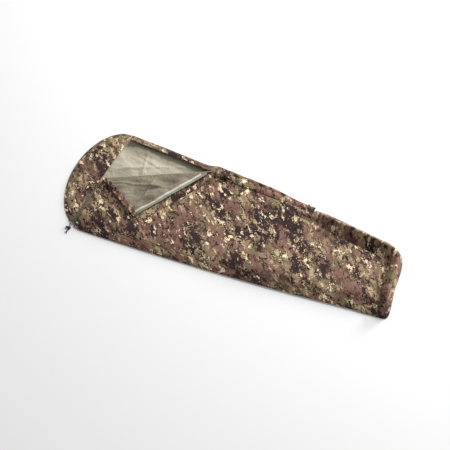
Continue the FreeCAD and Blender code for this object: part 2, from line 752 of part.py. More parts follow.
# ---- write -----------------------------------------------------------------------
NODES = {
    "bottom_panel": bottom_panel,
    "top_panel": top_panel,
    "hood_panel": hood_panel,
    "side_strip": side_strip,
    "top_panel_hem": top_panel_hem,
    "hood_tunnel": hood_tunnel,
    "drawcord_in_tunnel": drawcord_in_tunnel,
    "near_seam_tape": lambda: seam_tape(SHOULDER_X, FOOT_BEND_X, -1),
    "far_seam_tape": lambda: seam_tape(SHOULDER_X, FOOT_BEND_X, 1),
    "fixed_zip_coil": fixed_zip_coil,
    "fixed_zip_tape": fixed_zip_tape,
    "panel_zip_tape": panel_zip_tape,
    "meshed_zip_coil": meshed_zip_coil,
    "zip_bottom_stop": zip_bottom_stop,
    "zip_top_stop": zip_top_stop,
    "press_studs": press_studs,
    "hood_eyelet": lambda: eyelet(HOOD_EYELET),
    "top_panel_eyelet": lambda: eyelet(PANEL_EYELET),
    "drawcord_leg_hood": lambda: cord_leg("hood"),
    "drawcord_leg_panel": lambda: cord_leg("panel"),
    "drawcord_knot": cord_knot,
    "flap_panel": flap_panel,
    "flap_hem": flap_hem,
    "flap_seam_tape": flap_seam_tape,
    "flap_zip_tape": flap_zip_tape,
    "flap_zip_coil": flap_zip_coil,
    "flap_top_stop": flap_top_stop,
    "flap_storm_flap": flap_storm_flap,
    "flap_stud_caps": flap_stud_caps,
    "storm_flap": storm_flap,
    "storm_stud_caps": storm_stud_caps,
    "storm_end_tab": storm_end_tab,
    "slider_body": slider_body,
    "outer_pull": outer_pull,
    "inner_pull": inner_pull,
    "lock_barrel": lock_barrel,
    "lock_button": lock_button,
}

os.makedirs("parts", exist_ok=True)
for node, make in NODES.items():
    shape = make()
    solids = len(shape.Solids)
    print("%-22s solids %d valid %s volume %.1f cm3" % (node, solids, shape.isValid(), shape.Volume / 1000))
    shape.exportStep("parts/" + node + ".step")

slide_axis = unit(ZIP_TOP - ZIP_START)
print("fold axis", FOLD.Base, FOLD.Rotation.multVec(V(1, 0, 0)), "folded back", FOLDED_BACK)
print("open zip from", ZIP_START, "to", ZIP_TOP, "length", OPEN_LENGTH, "direction", slide_axis)
print("across the open zip", OPEN_ZIP.Rotation.multVec(V(0, 1, 0)))
print("closed zip direction", unit(ZIP_END - ZIP_START), "length", CLOSED_LENGTH)
print("storm flap axis at", CLOSED_ZIP.multVec(V(0, STORM_BACK_OUT + STORM_T / 2, STORM_AXIS_RISE)))
print("outer pull pivot", OPEN_ZIP.multVec(V(PULL_EYE_AT, 0, PULL_RISE)))
print("inner pull pivot", OPEN_ZIP.multVec(V(PULL_EYE_AT, 0, -PULL_RISE)))
print("folded corner", fold_back(Part.Vertex(ZIP_TOP)).Point)
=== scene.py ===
# %% [markdown]
# # A bivy sack lying on the ground, its zipped corner folded back
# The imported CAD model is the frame: it fixes every size, place and joint.  This notebook
# loads it, then makes the cloth, tapes, zip, cord and fittings that are seen, each as its
# own piece that rides on one of the frame's bodies.  Everything is in metres, with +X
# from head to foot, +Y towards the zip and +Z up.

# %% Load the frame
import bpy
import math
import numpy as np
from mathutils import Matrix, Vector, noise


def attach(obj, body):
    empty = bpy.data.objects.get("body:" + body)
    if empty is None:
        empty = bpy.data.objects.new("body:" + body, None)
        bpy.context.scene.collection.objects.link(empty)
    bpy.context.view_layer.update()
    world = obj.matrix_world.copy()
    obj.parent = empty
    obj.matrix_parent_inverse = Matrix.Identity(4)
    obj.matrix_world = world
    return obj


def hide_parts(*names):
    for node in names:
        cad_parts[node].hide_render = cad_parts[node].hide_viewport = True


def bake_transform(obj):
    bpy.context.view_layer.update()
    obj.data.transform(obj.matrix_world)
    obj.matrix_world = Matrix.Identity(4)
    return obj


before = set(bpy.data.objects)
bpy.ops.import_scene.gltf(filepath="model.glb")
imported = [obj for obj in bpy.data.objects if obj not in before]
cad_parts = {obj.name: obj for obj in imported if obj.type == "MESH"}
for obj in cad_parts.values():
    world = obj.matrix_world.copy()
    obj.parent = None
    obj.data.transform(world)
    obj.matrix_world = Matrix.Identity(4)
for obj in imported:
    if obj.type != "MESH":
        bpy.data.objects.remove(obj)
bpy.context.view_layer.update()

# %% [markdown]
# ## The measures that every piece shares
# The plan outline is an ellipse at the head, a gently bowed side and a squarish round
# foot.  It is kept as three short formulas, so the floor, the panels and the tapes all
# follow the same line.

# %% Driving measures
HEAD_X = -1.150
FOOT_X = 1.150
SHOULDER_X = -0.895
SHOULDER_HALF = 0.405
FOOT_BEND_X = 0.960
FOOT_BEND_HALF = 0.258
SIDE_TAPER = 0.0614
FOOT_POWER = 3.0
NEAR_FOOT_POWER = 10.0

FLOOR_TOP = 0.002
SEAM_Z = 0.0036
SHEET = 0.0012
FOLD_A = np.array([-0.918, -0.022, 0.054])
FOLD_C = np.array([-0.262, 0.312, 0.054])
FOLD_R = 0.008
PANEL_Z = 0.0468
CLOSED_TILT = math.radians(3.0)
ZIP_FOOT = np.array([0.465, 0.296])
ZIP_HEAD = np.array([-0.885, 0.345])
TAPE_EDGE = 0.016

def smooth(t):
    t = np.clip(t, 0, 1)
    return t * t * (3 - 2 * t)

def mix(a, b, t):
    return a + (b - a) * t

def bell(value, middle, width):
    return np.exp(-((value - middle) / width) ** 2)

def placed(origin, *moves):
    """The origin moved along each (amount, direction) in turn; the amounts broadcast."""
    amounts = np.broadcast_arrays(*(amount for amount, _ in moves))
    for amount, (_, direction) in zip(amounts, moves):
        origin = origin + amount[..., None] * direction
    return origin

def half_width(x, power=FOOT_POWER):
    """Half the sack's width at each x; power is how square the foot's corner is."""
    x = np.asarray(x, float)
    back = np.clip((SHOULDER_X - x) / (SHOULDER_X - HEAD_X), 0, 1)
    head = SHOULDER_HALF * np.sqrt(1 - back ** 2)
    s = (x - SHOULDER_X) / (FOOT_BEND_X - SHOULDER_X)
    bow = SHOULDER_HALF - FOOT_BEND_HALF - SIDE_TAPER
    side = SHOULDER_HALF - SIDE_TAPER * s - bow * s * s
    on = np.clip((x - FOOT_BEND_X) / (FOOT_X - FOOT_BEND_X), 0, 1)
    foot = FOOT_BEND_HALF * (1 - on ** power) ** (1 / power)
    return np.where(x < SHOULDER_X, head, np.where(x > FOOT_BEND_X, foot, side))

def near_half(x):
    """The near side's corner at the foot is squarer."""
    return half_width(x, NEAR_FOOT_POWER)

def outline(squareness=FOOT_POWER, count=40):
    """The far half of the plan outline, from the head's tip to the foot's."""
    turn = np.linspace(0, np.pi / 2, count)
    head = np.stack([SHOULDER_X - (SHOULDER_X - HEAD_X) * np.cos(turn), SHOULDER_HALF * np.sin(turn)], 1)
    x = np.linspace(SHOULDER_X, FOOT_BEND_X, 2 * count)[1:-1]
    side = np.stack([x, half_width(x)], 1)
    power = 2 / squareness
    foot_x = FOOT_BEND_X + (FOOT_X - FOOT_BEND_X) * np.sin(turn) ** power
    foot = np.stack([foot_x, FOOT_BEND_HALF * np.abs(np.cos(turn)) ** power], 1)
    return np.concatenate([head, side, foot])

def foot_skew(points):
    """The foot's end is not quite square: its near corner reaches further."""
    x, y = points[..., 0], points[..., 1]
    reach = 0.034 * smooth((x - 0.85) / 0.30) * smooth(-y / 0.26)
    return np.concatenate([(x + reach)[..., None], points[..., 1:]], -1)

print("outline points:", len(outline()))

# %% [markdown]
# ## Cloth as a closed sheet
# A sheet of cloth is a grid of points.  Blender could thicken it with a Solidify
# modifier, but two layers built directly give each face its own side: the camouflage
# outside, the pale lining inside, joined by a thin rim.  The UV map holds the flat plan
# position in metres, so the print and the weave stay in place when the cloth moves.

# %% Sheet builder
def grid_normals(points):
    along = np.gradient(points, axis=0)
    across = np.gradient(points, axis=1)
    normal = np.cross(along, across)
    return normal / np.maximum(np.linalg.norm(normal, axis=2, keepdims=True), 1e-9)

SIDE_TOP = 0.060

def unrolled(points):
    """Print position: the plan, with the height of the steep sides laid outwards."""
    x, y, z = points[..., 0], points[..., 1], points[..., 2]
    at_end = 1 - smooth((FOOT_X - x - 0.03) / 0.03)
    at_side = 1 - smooth((half_width(x) - np.abs(y) - 0.03) / 0.03)
    drop = SIDE_TOP - z
    return np.stack([x + drop * at_end, y + drop * at_side * np.clip(y / 0.1, -1, 1)], -1)

def link_object(name, data):
    piece = bpy.data.objects.new(name, data)
    bpy.context.collection.objects.link(piece)
    return piece

def mesh_object(name, verts, faces, *materials):
    """A smooth-shaded mesh and its object."""
    mesh = bpy.data.meshes.new(name)
    mesh.from_pydata(verts, [], faces)
    for material in materials:
        mesh.materials.append(material)
    mesh.polygons.foreach_set("use_smooth", np.ones(len(faces), bool))
    mesh.update()
    return link_object(name, mesh)

def dress(piece, body, slot, *nodes):
    """Lets a piece ride on a body and stand for its CAD nodes; slot is not used."""
    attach(piece, body)
    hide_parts(*nodes)

def stacked(x, y, z):
    """Points from coordinates that only have to broadcast together."""
    return np.stack(np.broadcast_arrays(x, y, z), -1)

def row(start, end, count):
    return np.linspace(start, end, count)[None, :]

def column(start, end, count):
    return np.linspace(start, end, count)[:, None]

def cloth(name, points, outside, inside, print_at=None, thick=SHEET, flip=False):
    """Closed sheet under a grid of points; returns the object."""
    points = np.asarray(points, float)
    if print_at is None:
        print_at = unrolled(points)
    normal = grid_normals(points)
    if flip:
        normal = -normal
    rows, cols = points.shape[:2]
    verts = np.concatenate([points.reshape(-1, 3), (points - normal * thick).reshape(-1, 3)])
    layer = rows * cols
    index = np.arange(layer).reshape(rows, cols)
    quads = np.stack([index[:-1, :-1], index[1:, :-1], index[1:, 1:], index[:-1, 1:]], -1).reshape(-1, 4)
    outer = quads[:, ::-1] if flip else quads
    inner = (quads if flip else quads[:, ::-1]) + layer
    loop = np.concatenate([index[0, :-1], index[:-1, -1], index[-1, :0:-1], index[:0:-1, 0]])
    after = np.roll(loop, -1)
    rim = np.stack([loop, loop + layer, after + layer, after], -1)
    if not flip:
        rim = rim[:, ::-1]
    faces = np.concatenate([outer, inner, rim])
    piece = mesh_object(name, verts.tolist(), faces.tolist(), outside, inside)
    mesh = piece.data
    uv = mesh.uv_layers.new(name="Print")
    flat = np.tile(np.asarray(print_at, float).reshape(-1, 2), (2, 1))
    corners = np.empty(len(mesh.loops), int)
    mesh.loops.foreach_get("vertex_index", corners)
    uv.data.foreach_set("uv", flat[corners].reshape(-1))
    side = np.zeros(len(faces), int)
    side[len(outer):len(outer) + len(inner)] = 1
    mesh.polygons.foreach_set("material_index", side)
    mesh.update()
    return piece

def area_of(points):
    """Area of a grid's surface, in square metres."""
    diagonal = points[1:, 1:] - points[:-1, :-1]
    other = points[1:, :-1] - points[:-1, 1:]
    return float(np.linalg.norm(np.cross(diagonal, other), axis=2).sum() / 2)

print("sheet builder ready, cloth", SHEET * 1000, "mm thick")

# %% [markdown]
# ## Folds and ripples
# Real cloth carries broad soft ripples and a few sharp creases.  No cloth simulation is
# run here.  The broad ripples are a noise that is stretched along the pull of the cloth,
# and each sharp crease is listed as a line with a width and a depth.

# %% Ripples and creases
def ripple(x, y, size, seed=0.0, stretch=(1.0, 1.0)):
    """Soft noise from -1 to 1 over plan positions; size is the ripple's width."""
    x, y = np.broadcast_arrays(x, y)
    flat = np.stack([np.ravel(x) / (size * stretch[0]), np.ravel(y) / (size * stretch[1])], 1)
    values = [noise.noise(Vector((a, b, seed))) for a, b in flat]
    return np.array(values).reshape(x.shape) * 1.6

def creased(z, x, y, lines):
    """Adds each crease in a list of (start, end, width, depth)."""
    for line in lines:
        z = z + crease(x, y, *line)
    return z

def crease(x, y, start, end, width, depth, fade=0.25):
    """A groove, or a ridge where depth is under zero, along a line from start to end."""
    start = np.array(start)
    run = np.array(end) - start
    length = np.linalg.norm(run)
    t = ((x - start[0]) * run[0] + (y - start[1]) * run[1]) / length ** 2
    off = ((x - start[0]) * run[1] - (y - start[1]) * run[0]) / length
    ends = smooth(t / fade + 0.5) * smooth((1 - t) / fade + 0.5)
    return -depth * bell(off, 0, width) * ends

print("ripple sample", round(float(ripple(np.array([0.1]), np.array([0.2]), 0.1)[0]), 3))

# %% [markdown]
# ## Node helpers
# Every material here is procedural.  These few helpers add one node and wire it, so that
# each material below reads like a recipe.

# %% Node helpers
def new_material(name):
    material = bpy.data.materials.new(name)
    material.use_nodes = True
    return material, material.node_tree, material.node_tree.nodes["Principled BSDF"]

def add(tree, kind, settings=None, inputs=None):
    """One node, its settings, and its inputs: a value, or another node's output."""
    node = tree.nodes.new(kind)
    for key, value in (settings or {}).items():
        setattr(node, key, value)
    for key, value in (inputs or {}).items():
        socket = node.inputs[key]
        if isinstance(value, bpy.types.NodeSocket):
            tree.links.new(value, socket)
        else:
            socket.default_value = value
    return node

def set_inputs(shader, values):
    """The inputs that are one value all over."""
    for key, value in values.items():
        shader.inputs[key].default_value = value

def srgb(r, g, b):
    """Linear colour from the 0 to 255 values that a dye card gives."""
    def lin(c):
        c = c / 255
        return c / 12.92 if c <= 0.04045 else ((c + 0.055) / 1.055) ** 2.4
    return (lin(r), lin(g), lin(b), 1.0)

def spots(tree, at, scale, detail, rough, level, soft=0.0, offset=(0, 0, 0)):
    """1 where a noise is above a level, 0 elsewhere."""
    moved = add(tree, "ShaderNodeVectorMath", {"operation": "ADD"}, {0: at, 1: offset})
    field = add(tree, "ShaderNodeTexNoise", {"noise_dimensions": "2D"},
                {"Vector": moved.outputs[0], "Scale": scale, "Detail": detail, "Roughness": rough})
    edge = add(tree, "ShaderNodeMapRange", None,
               {"Value": field.outputs["Fac"], "From Min": level, "From Max": level + max(soft, 0.001)})
    return edge.outputs["Result"]

def blend_colour(tree, share, low, high):
    """Low where share is 0, high where it is 1; low and high are colours or outputs."""
    node = add(tree, "ShaderNodeMix", {"data_type": "RGBA"})
    tree.links.new(share, node.inputs[0])
    for socket, value in ((node.inputs[6], low), (node.inputs[7], high)):
        if isinstance(value, bpy.types.NodeSocket):
            tree.links.new(value, socket)
        else:
            socket.default_value = value
    return node.outputs[2]

def times(tree, a, b):
    return add(tree, "ShaderNodeMath", {"operation": "MULTIPLY"}, {0: a, 1: b}).outputs[0]

def weave_bump(tree, shader, uv, thread, strength, ripple_strength):
    """Plain weave: two rows of ridges at right angles, over a fine unevenness."""
    warp = add(tree, "ShaderNodeTexWave", {"bands_direction": "X"},
               {"Vector": uv, "Scale": 1 / thread / 6.3, "Distortion": 0.6})
    weft = add(tree, "ShaderNodeTexWave", {"bands_direction": "Y"},
               {"Vector": uv, "Scale": 1 / thread / 6.3, "Distortion": 0.6})
    both = add(tree, "ShaderNodeMath", {"operation": "ADD"},
               {0: warp.outputs["Fac"], 1: weft.outputs["Fac"]})
    fine = add(tree, "ShaderNodeBump", None,
               {"Height": both.outputs[0], "Strength": strength, "Distance": 0.0002})
    crumple = add(tree, "ShaderNodeTexNoise", None,
                  {"Vector": uv, "Scale": 24, "Detail": 6, "Roughness": 0.62, "Distortion": 0.7})
    soft = add(tree, "ShaderNodeBump", None,
               {"Height": crumple.outputs["Fac"], "Strength": ripple_strength, "Distance": 0.010,
                "Normal": fine.outputs["Normal"]})
    tree.links.new(soft.outputs["Normal"], shader.inputs["Normal"])

print("node helpers ready")

# %% [markdown]
# ## The camouflage print
# The cloth is printed with small square-edged flecks: khaki and olive grounds, red-brown
# patches, near-black purple-brown patches, and cream flecks that run in slanting
# clusters.  Snapping the cloth's coordinates to a small square before each noise gives
# the square edges.  Turning and stretching them first gives the slant.

# %% Camouflage cloth
FLECK = 0.0052

# Each layer over the ground: its dye, then the noises that have to be present together,
# as scale, detail, roughness, level, softness and offset.
PRINT_LAYERS = [
    ((164, 142, 114), (14, 6, 0.75, 0.56, 0.0, (3.1, 7.7, 0))),
    ((112, 82, 72), (6.0, 7, 0.72, 0.505, 0.0, (11.3, 2.9, 0))),
    ((80, 62, 50), (22, 5, 0.68, 0.56, 0.0, (1.7, 13.9, 0))),
    ((48, 34, 34), (4.6, 9, 0.80, 0.530, 0.0, (5.5, 21.2, 0)), (22, 5, 0.72, 0.425, 0.0, (9.5, 1.2, 0))),
    ((36, 26, 24), (30, 4, 0.68, 0.612, 0.0, (8.2, 4.4, 0))),
    ((208, 188, 156), (20, 6, 0.70, 0.600, 0.0, (17.5, 9.1, 0)), (5.0, 3, 0.6, 0.485, 0.02, (2.4, 30.2, 0))),
]

def print_coordinates(tree):
    """Plan position snapped to the fleck's square, then turned and stretched."""
    uv = add(tree, "ShaderNodeUVMap", {"uv_map": "Print"}).outputs["UV"]
    snapped = add(tree, "ShaderNodeVectorMath", {"operation": "SNAP"},
                  {0: uv, 1: (FLECK, FLECK, FLECK)}).outputs[0]
    turned = add(tree, "ShaderNodeMapping", {"vector_type": "TEXTURE"},
                 {"Vector": snapped, "Rotation": (0, 0, math.radians(-50)), "Scale": (1.5, 0.8, 1.0)})
    return uv, turned.outputs["Vector"]

def camouflage(name, light):
    material, tree, shader = new_material(name)
    uv, at = print_coordinates(tree)
    def tone(r, g, b):
        return srgb(r * light, g * light, b * light)
    colour = blend_colour(tree, spots(tree, at, 7, 5, 0.7, 0.5), tone(134, 112, 88), tone(108, 96, 70))
    for dye, first, *others in PRINT_LAYERS:
        share = spots(tree, at, *first)
        for other in others:
            share = times(tree, share, spots(tree, at, *other))
        colour = blend_colour(tree, share, colour, tone(*dye))
    wear = add(tree, "ShaderNodeTexNoise", None, {"Vector": uv, "Scale": 3.5, "Detail": 3})
    faded = add(tree, "ShaderNodeHueSaturation", None, {"Color": colour, "Saturation": 0.98})
    value = add(tree, "ShaderNodeMapRange", None,
                {"Value": wear.outputs["Fac"], "From Min": 0.3, "From Max": 0.7,
                 "To Min": 0.9, "To Max": 1.1})
    tree.links.new(value.outputs["Result"], faded.inputs["Value"])
    tree.links.new(faded.outputs["Color"], shader.inputs["Base Color"])
    rough = add(tree, "ShaderNodeMapRange", None,
                {"Value": wear.outputs["Fac"], "To Min": 0.66, "To Max": 0.84})
    tree.links.new(rough.outputs["Result"], shader.inputs["Roughness"])
    set_inputs(shader, {"Specular IOR Level": 0.16, "Sheen Weight": 0.04, "Sheen Roughness": 0.5})
    weave_bump(tree, shader, uv, 0.0011, 0.35, 0.75)
    return material

CAMO = camouflage("camouflage cloth", 1.14)
CAMO_INSIDE = camouflage("camouflage cloth turned in", 1.20)
print("camouflage cloth, flecks of", FLECK * 1000, "mm")

# %% [markdown]
# ## Lining, tapes and metal
# The lining is pale grey-beige.  The seam tape is smoother and almost white, and the zip
# tape is grey-green.  All of them share one plain weave, at different thread sizes.  The
# fittings are black lacquer and black moulded plastic, which show as soft highlights only.

# %% Lining and tape cloths
def plain_cloth(name, base, shade, thread, rough, crumple):
    """A woven cloth of one dye, uneven at two scales."""
    material, tree, shader = new_material(name)
    uv = add(tree, "ShaderNodeUVMap", {"uv_map": "Print"}).outputs["UV"]
    broad = add(tree, "ShaderNodeTexNoise", None,
                {"Vector": uv, "Scale": 5.0, "Detail": 5, "Roughness": 0.6})
    fine = add(tree, "ShaderNodeTexNoise", None,
               {"Vector": uv, "Scale": 260, "Detail": 2})
    both = times(tree, broad.outputs["Fac"], fine.outputs["Fac"])
    share = add(tree, "ShaderNodeMapRange", None,
                {"Value": both, "From Min": 0.18, "From Max": 0.34})
    colour = blend_colour(tree, share.outputs["Result"], srgb(*shade), srgb(*base))
    tree.links.new(colour, shader.inputs["Base Color"])
    rough_map = add(tree, "ShaderNodeMapRange", None,
                    {"Value": broad.outputs["Fac"], "To Min": rough - 0.08, "To Max": rough + 0.08})
    tree.links.new(rough_map.outputs["Result"], shader.inputs["Roughness"])
    set_inputs(shader, {"Specular IOR Level": 0.25, "Sheen Weight": 0.1})
    weave_bump(tree, shader, uv, thread, 0.4, crumple)
    return material

LINING = plain_cloth("lining cloth", (196, 187, 168), (166, 157, 138), 0.0011, 0.75, 0.8)
# The folded corner's lining is the same lining cloth painted darker: painted shade.
SHADED_CORNER_LINING = plain_cloth("corner lining with painted shade", (146, 136, 118), (114, 104, 88), 0.0011, 0.75, 1.0)
SEAM_TAPE = plain_cloth("seam tape", (204, 202, 190), (176, 172, 156), 0.002, 0.55, 0.15)
ZIP_TAPE = plain_cloth("zip tape", (150, 148, 124), (112, 110, 90), 0.0008, 0.8, 0.1)
TUNNEL_CLOTH = plain_cloth("drawcord tunnel cloth", (112, 110, 92), (76, 74, 62), 0.0011, 0.75, 0.3)
# The open part of the fixed zip tape is the same tape as the grey-green shut part, coloured near-black:
# painted shade along the open zip's edge.
SHADED_OPEN_ZIP_TAPE = plain_cloth("open zip tape with painted shade", (40, 38, 32), (22, 21, 18), 0.0008, 0.8, 0.1)
WEBBING = plain_cloth("dark webbing", (48, 44, 42), (26, 24, 24), 0.0016, 0.8, 0.1)
print("plain cloths:", [m.name for m in (LINING, SEAM_TAPE, ZIP_TAPE, TUNNEL_CLOTH, SHADED_OPEN_ZIP_TAPE, WEBBING)])

# %% Fittings' finishes
def fitting(name, base, worn, rough, metallic, grain):
    """Lacquer or moulded plastic: a fine orange peel and edges worn a little lighter."""
    material, tree, shader = new_material(name)
    at = add(tree, "ShaderNodeTexCoord").outputs["Object"]
    peel = add(tree, "ShaderNodeTexNoise", None, {"Vector": at, "Scale": grain, "Detail": 4})
    point = add(tree, "ShaderNodeNewGeometry").outputs["Pointiness"]
    edge = add(tree, "ShaderNodeMapRange", None, {"Value": point, "From Min": 0.5, "From Max": 0.6})
    share = times(tree, edge.outputs["Result"], peel.outputs["Fac"])
    tree.links.new(blend_colour(tree, share, srgb(*base), srgb(*worn)), shader.inputs["Base Color"])
    level = add(tree, "ShaderNodeMapRange", None,
                {"Value": peel.outputs["Fac"], "To Min": rough - 0.08, "To Max": rough + 0.12})
    tree.links.new(level.outputs["Result"], shader.inputs["Roughness"])
    bump = add(tree, "ShaderNodeBump", None,
               {"Height": peel.outputs["Fac"], "Strength": 0.15, "Distance": 0.0003})
    tree.links.new(bump.outputs["Normal"], shader.inputs["Normal"])
    shader.inputs["Metallic"].default_value = metallic
    return material

BLACK_LACQUER = fitting("black lacquered metal", (26, 26, 27), (96, 92, 86), 0.38, 0.6, 900)
BLACK_PLASTIC = fitting("black moulded plastic", (22, 22, 22), (60, 60, 60), 0.5, 0.0, 1400)
COIL_PLASTIC = fitting("zip coil plastic", (36, 34, 30), (70, 66, 58), 0.45, 0.0, 1600)
STUD_METAL = fitting("press stud metal", (30, 29, 28), (110, 100, 82), 0.35, 0.8, 1000)

def braided_cord(name, base, shade):
    """Braid: two families of slanting strands round the cord."""
    material, tree, shader = new_material(name)
    at = add(tree, "ShaderNodeTexCoord").outputs["Object"]
    left = add(tree, "ShaderNodeTexWave", {"bands_direction": "DIAGONAL"},
               {"Vector": at, "Scale": 260, "Distortion": 0.5})
    turned = add(tree, "ShaderNodeMapping", None, {"Vector": at, "Rotation": (0, 0, 1.57)})
    right = add(tree, "ShaderNodeTexWave", {"bands_direction": "DIAGONAL"},
                {"Vector": turned.outputs["Vector"], "Scale": 260, "Distortion": 0.5})
    braid = times(tree, left.outputs["Fac"], right.outputs["Fac"])
    tree.links.new(blend_colour(tree, braid, srgb(*shade), srgb(*base)), shader.inputs["Base Color"])
    bump = add(tree, "ShaderNodeBump", None, {"Height": braid, "Strength": 0.6, "Distance": 0.0004})
    tree.links.new(bump.outputs["Normal"], shader.inputs["Normal"])
    shader.inputs["Roughness"].default_value = 0.8
    return material

CORD = braided_cord("braided cord", (58, 60, 50), (26, 27, 23))
print("fittings' finishes ready")

# %% [markdown]
# ## Bottom panel
# The floor is a single flat cut of the same laminate.  Its edge is seen as the dark line
# under the sack, and its lining is seen through the open corner.  Rows of points run from
# seam to seam, closer together towards the seams, and a few creases are listed
# where the lining shows.

# %% Bottom panel
def across(near, far, columns):
    """Points from near to far, closer together at both ends; near and far are (rows, 2)."""
    share = (1 - np.cos(np.linspace(0, np.pi, columns))) / 2
    return near[:, None] + (far - near)[:, None] * share[None, :, None]

FLOOR_CREASES = [((-0.86, 0.12), (-0.46, 0.30), 0.009, -0.007),
                 ((-0.80, 0.26), (-0.58, 0.20), 0.007, 0.005),
                 ((-0.74, 0.33), (-0.70, 0.14), 0.008, -0.006)]
FLOOR_PUFF = 0.018        # under the open corner
FLOOR_RAISED = 0.010      # along the open zip

def floor_height(x, y):
    edge = np.where(y < 0, near_half(x), half_width(x)) - np.abs(y)
    lift = smooth((edge - 0.012) / 0.05)
    z = 0.003 + 0.0030 * ripple(x, y, 0.09, 4.0) + 0.0026 * ripple(x, y, 0.035, 4.5, (1.8, 1.0))
    z = creased(z, x, y, FLOOR_CREASES)
    puff = FLOOR_PUFF * smooth(1.25 - np.hypot((x + 0.60) / 0.36, (y - 0.15) / 0.20))
    along = np.clip((x - ZIP_HEAD[0]) / (FOLD_C[0] - ZIP_HEAD[0]), 0, 1)
    to_zip = mix(ZIP_HEAD[1], FOLD_C[1], along) - y
    raised = smooth((0.10 - to_zip) / 0.09) * smooth((x - ZIP_HEAD[0] - 0.02) / 0.06)
    raised = raised * (1 - smooth((x - FOLD_C[0] + 0.10) / 0.12))
    return FLOOR_TOP + 0.0016 + lift * (z + np.maximum(puff * (1 - raised), FLOOR_RAISED * raised))

def bottom_panel():
    far = outline(count=110)[1:-1]
    plan = across(np.stack([far[:, 0], -near_half(far[:, 0])], 1), far, 120)
    x, y = plan[..., 0], plan[..., 1]
    points = foot_skew(np.stack([x, y, floor_height(x, y)], -1))
    piece = cloth("floor_panel", points, LINING, CAMO, plan, thick=0.0016)
    dress(piece, "sack", "outer_fabric", "bottom_panel")
    return area_of(points)

print("bottom panel %.2f square metres" % bottom_panel())

# %% [markdown]
# ## Top panel
# One cut of cloth from the face opening to the foot.  It rises from the near seam in a
# taut round slope, lies nearly flat over the body, and stands up in a rim round the foot,
# with a deep fold inside the rim where the cloth has sunk.  A grid that runs from the near
# seam to the far edge can follow all three of its far edges: the fold, the zip and the
# seam.  The height is a formula of the plan position, so neighbouring pieces can ask it
# where the cloth is.

# %% Height of the top panel
FOOT_LINE = outline()
FOOT_LINE = FOOT_LINE[FOOT_LINE[:, 0] > 0.2]
NEAR_LINE = outline(NEAR_FOOT_POWER)[::-1][:34] * np.array([1, -1])
FOOT_LINE = np.concatenate([FOOT_LINE, NEAR_LINE])

def zip_y(x):
    share = (x - FOLD_C[0]) / (ZIP_FOOT[0] - FOLD_C[0])
    return mix(FOLD_C[1], ZIP_FOOT[1], share)

def from_foot_line(x, y):
    """Distance to the outline along the far side and round the foot."""
    flat = np.stack([np.ravel(x), np.ravel(y)], 1)
    best = np.full(len(flat), 9.0)
    for start, end in zip(FOOT_LINE[:-1], FOOT_LINE[1:]):
        run = end - start
        if run @ run < 1e-9:
            continue
        t = np.clip(((flat - start) @ run) / (run @ run), 0, 1)
        best = np.minimum(best, np.linalg.norm(flat - start - t[:, None] * run, axis=1))
    return best.reshape(np.shape(x))

def rising(t):
    return np.sin(np.pi / 2 * np.clip(t, 0, 1))

BODY_CREASES = [((0.22, 0.24), (0.46, 0.19), 0.014, -0.006), ((-0.08, 0.10), (0.22, 0.22), 0.016, -0.004)]
BODY_LOFT = 0.014
RIM_AT = 0.036            # distance of the foot's rim from the outline
FOLD_AT = 0.088           # and of the deep fold inside it
FOLD_DEPTH = 0.044

def top_height(x, y, folds=True):
    body = PANEL_Z + BODY_LOFT * rising((x + 0.15) / 0.5)
    near = near_half(x) + y
    z = mix(SEAM_Z, body, rising(near / 0.12) ** 0.75)
    tape = smooth((x - FOLD_C[0]) / 0.05) * (1 - smooth((x - 0.45) / 0.06))
    tape_z = PANEL_Z + 0.004 * np.clip((x - FOLD_C[0]) / (ZIP_FOOT[0] - FOLD_C[0]), 0, 1)
    beside = rising((zip_y(np.minimum(x, 0.5)) - TAPE_EDGE - y) / 0.06)
    z = mix(z, mix(tape_z, z, beside), tape)
    growth = smooth((x - 0.25) / 0.55)
    edge = from_foot_line(x, y)
    beyond_zip = smooth((x - 0.44) / 0.08)
    crest = (0.014 + 0.022 * growth) * bell(edge, RIM_AT, 0.026)
    crest = crest * smooth((x - 0.42) / 0.15)
    sink_width = np.where(edge < FOLD_AT, 0.011, 0.026)
    sink = -FOLD_DEPTH * growth * bell(edge, FOLD_AT, sink_width)
    side = mix(1.0, rising(edge / 0.034) ** 0.6, beyond_zip)
    near_fade = smooth(near / 0.09)
    z = mix(SEAM_Z, z, side) + (crest + sink) * near_fade * np.minimum(side, 1)
    if folds:
        loose = smooth(near / 0.10) * smooth(edge / 0.05) * smooth((x + 0.12) / 0.2)
        z = z + loose * 0.004 * ripple(x, y, 0.16, 1.0, (2.2, 1.0))
        z = z + loose * 0.0022 * ripple(x, y, 0.05, 2.0, (2.6, 1.0))
        z = z + crease(x, y, (0.30, 0.225), (0.80, 0.172), 0.010, 0.010) * smooth((x - 0.3) / 0.1)
        z = creased(z, x, y, BODY_CREASES)
    return z

print("top panel height at the body's middle %.3f m" % float(top_height(np.array([0.2]), np.array([0.0]))[0]))

# %% Top panel
def face_x(y, gap=0.0):
    """The face opening's line; the hood's edge lies a gap behind the top panel's."""
    return FOLD_A[0] + 0.09 * (y - FOLD_A[1]) - gap

def panel_edges():
    """Near and far ends of every row of the top panel, as plan points."""
    head = float(face_x(-half_width(-0.945)))
    share = np.linspace(0, 1, 70)
    near_x = mix(head, FOLD_C[0] + 0.04, share)
    far_fold = FOLD_A[:2] + (FOLD_C - FOLD_A)[:2] * share[:, None]
    x = np.concatenate([np.linspace(-0.20, 0.44, 70), np.linspace(0.45, 0.95, 70)])
    past = outline()
    past = past[past[:, 0] > 0.952, 0][:-1]
    x = np.concatenate([x, past])
    width = half_width(x)
    far_y = mix(zip_y(np.minimum(x, 0.5)) - TAPE_EDGE, width, smooth((x - 0.462) / 0.06))
    near = np.concatenate([np.stack([near_x, -half_width(near_x)], 1), np.stack([x, -near_half(x)], 1)])
    far = np.concatenate([far_fold, np.stack([x, far_y], 1)])
    return near, far

